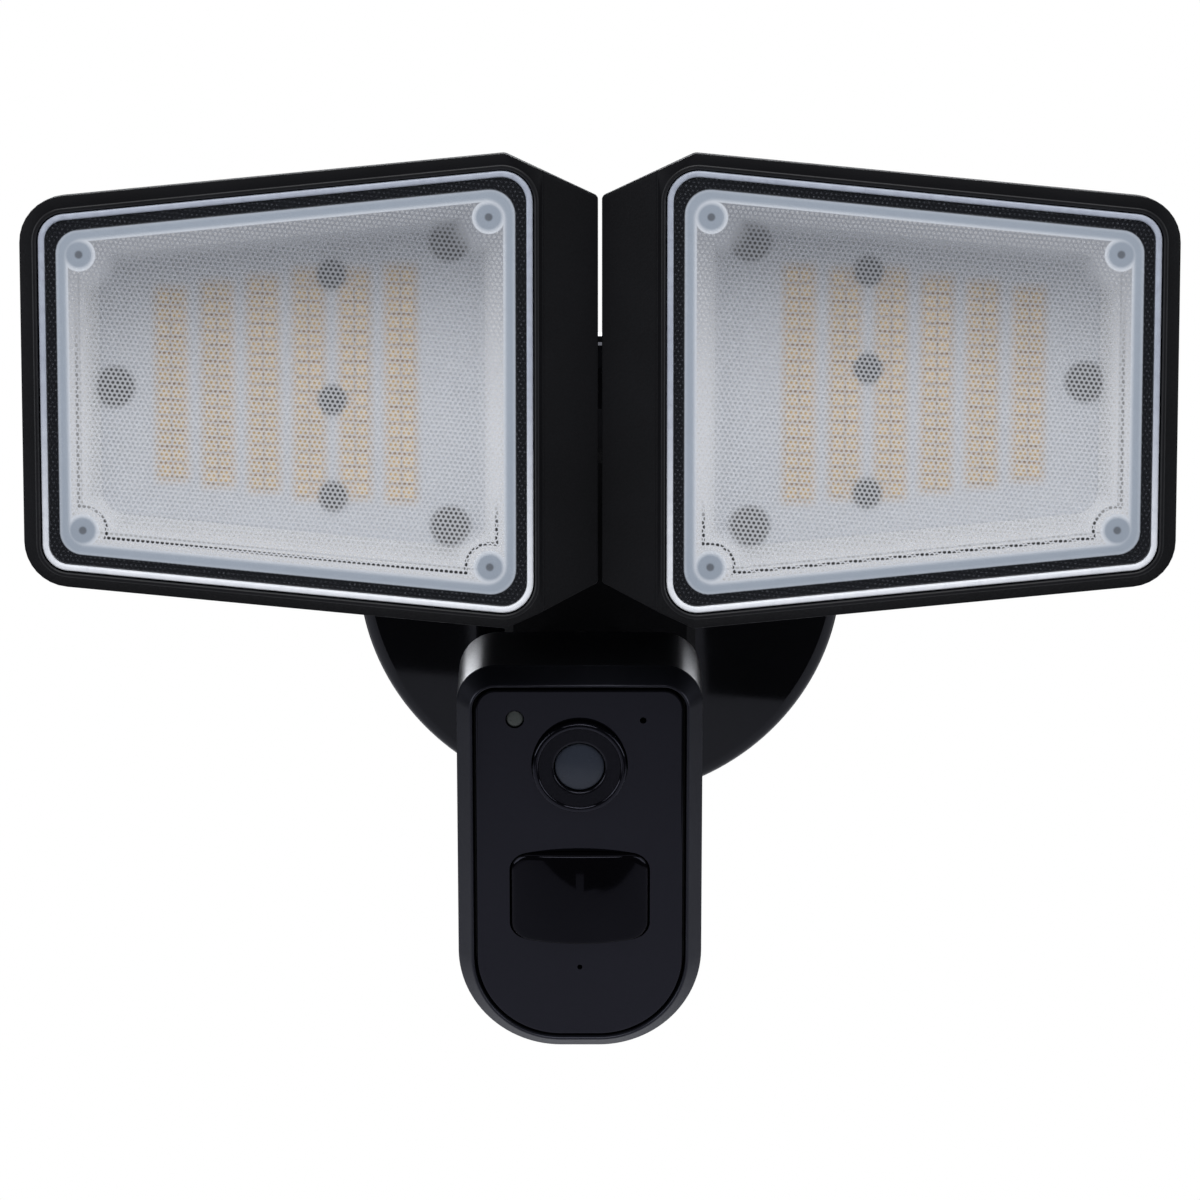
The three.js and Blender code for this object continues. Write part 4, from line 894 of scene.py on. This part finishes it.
def pir_ring(g=0.0, s=1.0, steps=10):
    """window outline, its top and bottom edges slightly arched"""
    w_, h_, r_ = PIR_W + g, PIR_H + g, 4.6 + g
    pts = outline([[-w_, -h_, r_], [w_, -h_, r_], [w_, h_, r_], [-w_, h_, r_]], steps)
    dense = []
    for a, b in zip(pts, pts[1:] + pts[:1]):
        k = max(1, int(math.hypot(b[0] - a[0], b[1] - a[1]) / 1.5))
        dense += [(a[0] + (b[0] - a[0]) * i / k, a[1] + (b[1] - a[1]) * i / k) for i in range(k)]
    out = []
    for x, z in dense:
        z *= 1 - 0.075 * (x / w_) ** 2
        out.append((x * s, PIR_UP + z * s))
    return out


cut = [raw("c", *lathe([(RING_R + 0.3, -1), (RING_R + 0.3, 5)], 96, 0, LENS_UP), xf=pod_xf),
       raw("c", *loft([(pir_ring(0.3), -1), (pir_ring(0.3), 5)], True, True), xf=pod_xf),
       raw("c", *lathe([(2.5, -1), (2.5, 5)], 40, LIGHT_X, LIGHT_UP), xf=pod_xf),
       raw("c", *lathe([(0.9, -1), (0.9, 5)], 24, MIC_X, MIC_UP), xf=pod_xf),
       raw("c", *lathe([(0.7, -1), (0.7, 5)], 24, 0, MIC2_UP), xf=pod_xf)]
carve(plate, cut)
dress(plate, "camera_pod", M["gloss"], ("face_plate",), angle=30)

o_ = -RING_OUT
piece("lens_collar_edge", lathe([(RING_R - 1.62, 4.4), (RING_R - 1.62, o_ + 0.60), (RING_R - 1.57, o_ + 0.30), (RING_R - 1.46, o_ + 0.10), (RING_R - 1.30, o_ + 0.02), (RING_R - 1.15, o_), (RING_R - 0.45, o_), (RING_R - 0.28, o_ + 0.04), (RING_R - 0.12, o_ + 0.16), (RING_R - 0.02, o_ + 0.38), (RING_R, o_ + 0.65), (RING_R, 4.4)], 128, 0, LENS_UP, True),
      "camera_pod", M["gloss"], ("lens_ring",), pod_xf, angle=40)
piece("lens_collar_face", lathe([(GLASS_R + 0.25, 4.2), (GLASS_R + 0.25, -1.30), (GLASS_R + 0.36, -1.62), (GLASS_R + 0.60, -1.80), (GLASS_R + 0.90, -1.84), (GLASS_R + 1.10, -1.84), (RING_R - 1.80, -1.90), (RING_R - 1.66, -1.90), (RING_R - 1.66, 4.2)], 128, 0, LENS_UP, True),
      "camera_pod", M["collar"], (), pod_xf, angle=40)
dome = [(GLASS_R - 0.05, 3.2), (GLASS_R - 0.05, -0.72), (GLASS_R - 0.16, -0.86)] + [(r_, -1.5 + 0.62 * (r_ / (GLASS_R - 0.2)) ** 2) for r_ in (6.2, 5.6, 4.9, 4.1, 3.2, 2.2, 1.2, 0.5, 0.15)]
piece("lens_dome", lathe(dome, 96, 0, LENS_UP), "camera_pod", M["glass"], ("lens_glass",), pod_xf, angle=40)
cad("lens_barrel", M["blackoxide"])
cad("camera_board", M["pcb"])
cad("main_board", M["pcb"])
cad("pir_sensor", M["screw"])
cad("speaker", M["speaker"], 0.3)
cad("camera_tilt_pin", M["screw"], 0.3)
rings = [(pir_ring(), 2.6)]
for s in (1.0, 0.995, 0.985, 0.97, 0.95, 0.9, 0.8, 0.65, 0.5, 0.35, 0.2, 0.08, 0.02):
    pts = pir_ring(0.0, s)
    # the ring shrinks about the window's own middle
    pts = [(x, PIR_UP + (z - PIR_UP * 1.0)) for x, z in pts]
    t = max(0.0, (s - 0.95) / 0.05)
    lip = 0.75 * (1 - math.sqrt(max(0.0, 1 - t * t)))
    rings.append((pts, [0.4 - PIR_BULGE * (1 - (x / PIR_W) ** 2) * (1 - 0.10 * ((z - PIR_UP) / PIR_H) ** 2) + lip for x, z in pts]))
piece("motion_window", loft(rings, True, True), "camera_pod", M["pir"], ("pir_window",), pod_xf, angle=50)
piece("light_sensor_cover", lathe([(2.2, 2.6), (2.2, 1.1), (2.0, 0.9), (1.4, 0.82), (0.3, 0.8)], 40, LIGHT_X, LIGHT_UP), "camera_pod", M["sensor"], ("light_sensor_window",), pod_xf, angle=40)

# ------------------------------------------------------------------ floor, light, camera
def plane(name, pts, z, mat):
    me = bpy.data.meshes.new(name)
    me.from_pydata([(x, y, z) for x, y in pts], [], [tuple(range(len(pts)))])
    me.materials.append(mat)
    ob = bpy.data.objects.new(name, me)
    scene.collection.objects.link(ob)
    return ob


FLOOR_Z = -0.62
floor_mat = moulded("floor_pale", (0.62, 0.62, 0.64), 0.8, 30.0, 0.0, 0.0, 0.01, 0.03, 0.1)
plane("floor", [(-2.4, -2.36), (-0.088, -1.778), (-0.100, -2.06), (0.074, -2.06), (0.072, -1.740), (2.4, -1.15), (2.4, 0.86), (-2.4, 0.86)], FLOOR_Z, floor_mat)

world = bpy.data.worlds.new("studio")
scene.world = world
world.use_nodes = True
nt = world.node_tree
nt.nodes.clear()
out = nt.nodes.new("ShaderNodeOutputWorld")
mixs = nt.nodes.new("ShaderNodeMixShader")
lp = nt.nodes.new("ShaderNodeLightPath")
dim = nt.nodes.new("ShaderNodeBackground")
dim.inputs["Color"].default_value = (0.90, 0.94, 1.0, 1)
dim.inputs["Strength"].default_value = 0.05
white = nt.nodes.new("ShaderNodeBackground")
white.inputs["Color"].default_value = (1, 1, 1, 1)
white.inputs["Strength"].default_value = 1.0
nt.links.new(lp.outputs["Is Camera Ray"], mixs.inputs[0])
nt.links.new(dim.outputs[0], mixs.inputs[1])
nt.links.new(white.outputs[0], mixs.inputs[2])
nt.links.new(mixs.outputs[0], out.inputs["Surface"])


def area(name, loc, target, sx, sy, power, color=(1, 1, 1)):
    L = bpy.data.lights.new(name, "AREA")
    L.shape = "RECTANGLE"
    L.size, L.size_y = sx, sy
    L.energy = power
    L.color = color
    ob = bpy.data.objects.new(name, L)
    ob.location = loc
    ob.rotation_euler = (Vector(target) - Vector(loc)).to_track_quat("-Z", "Y").to_euler()
    scene.collection.objects.link(ob)
    return ob


area("key_top", (0.0, -1.5, 1.9), (0, -0.12, 0.02), 2.0, 1.4, 40, (0.97, 0.98, 1.0))
area("left_soft", (-1.7, -0.8, 0.6), (0, -0.12, 0.0), 1.0, 1.5, 16, (0.92, 0.95, 1.0))
area("right_soft", (1.7, -0.8, 0.6), (0, -0.12, 0.0), 1.0, 1.5, 13, (0.92, 0.95, 1.0))
area("back_soft", (0.0, 1.9, 0.30), (0, 0.0, 0.02), 2.2, 0.9, 40, (0.95, 0.97, 1.0))

cam = bpy.data.cameras.new("camera")
cam.sensor_width = 36.0
cam.lens = 143.58
cam_ob = bpy.data.objects.new("camera", cam)
cam_ob.location = (0.0, -1.3471, 0.4132)
cam_ob.rotation_euler = (math.radians(72.5), 0.0, 0.0)
cam.clip_start, cam.clip_end = 0.01, 20.0
scene.collection.objects.link(cam_ob)
scene.camera = cam_ob
scene.view_settings.view_transform = "Standard"
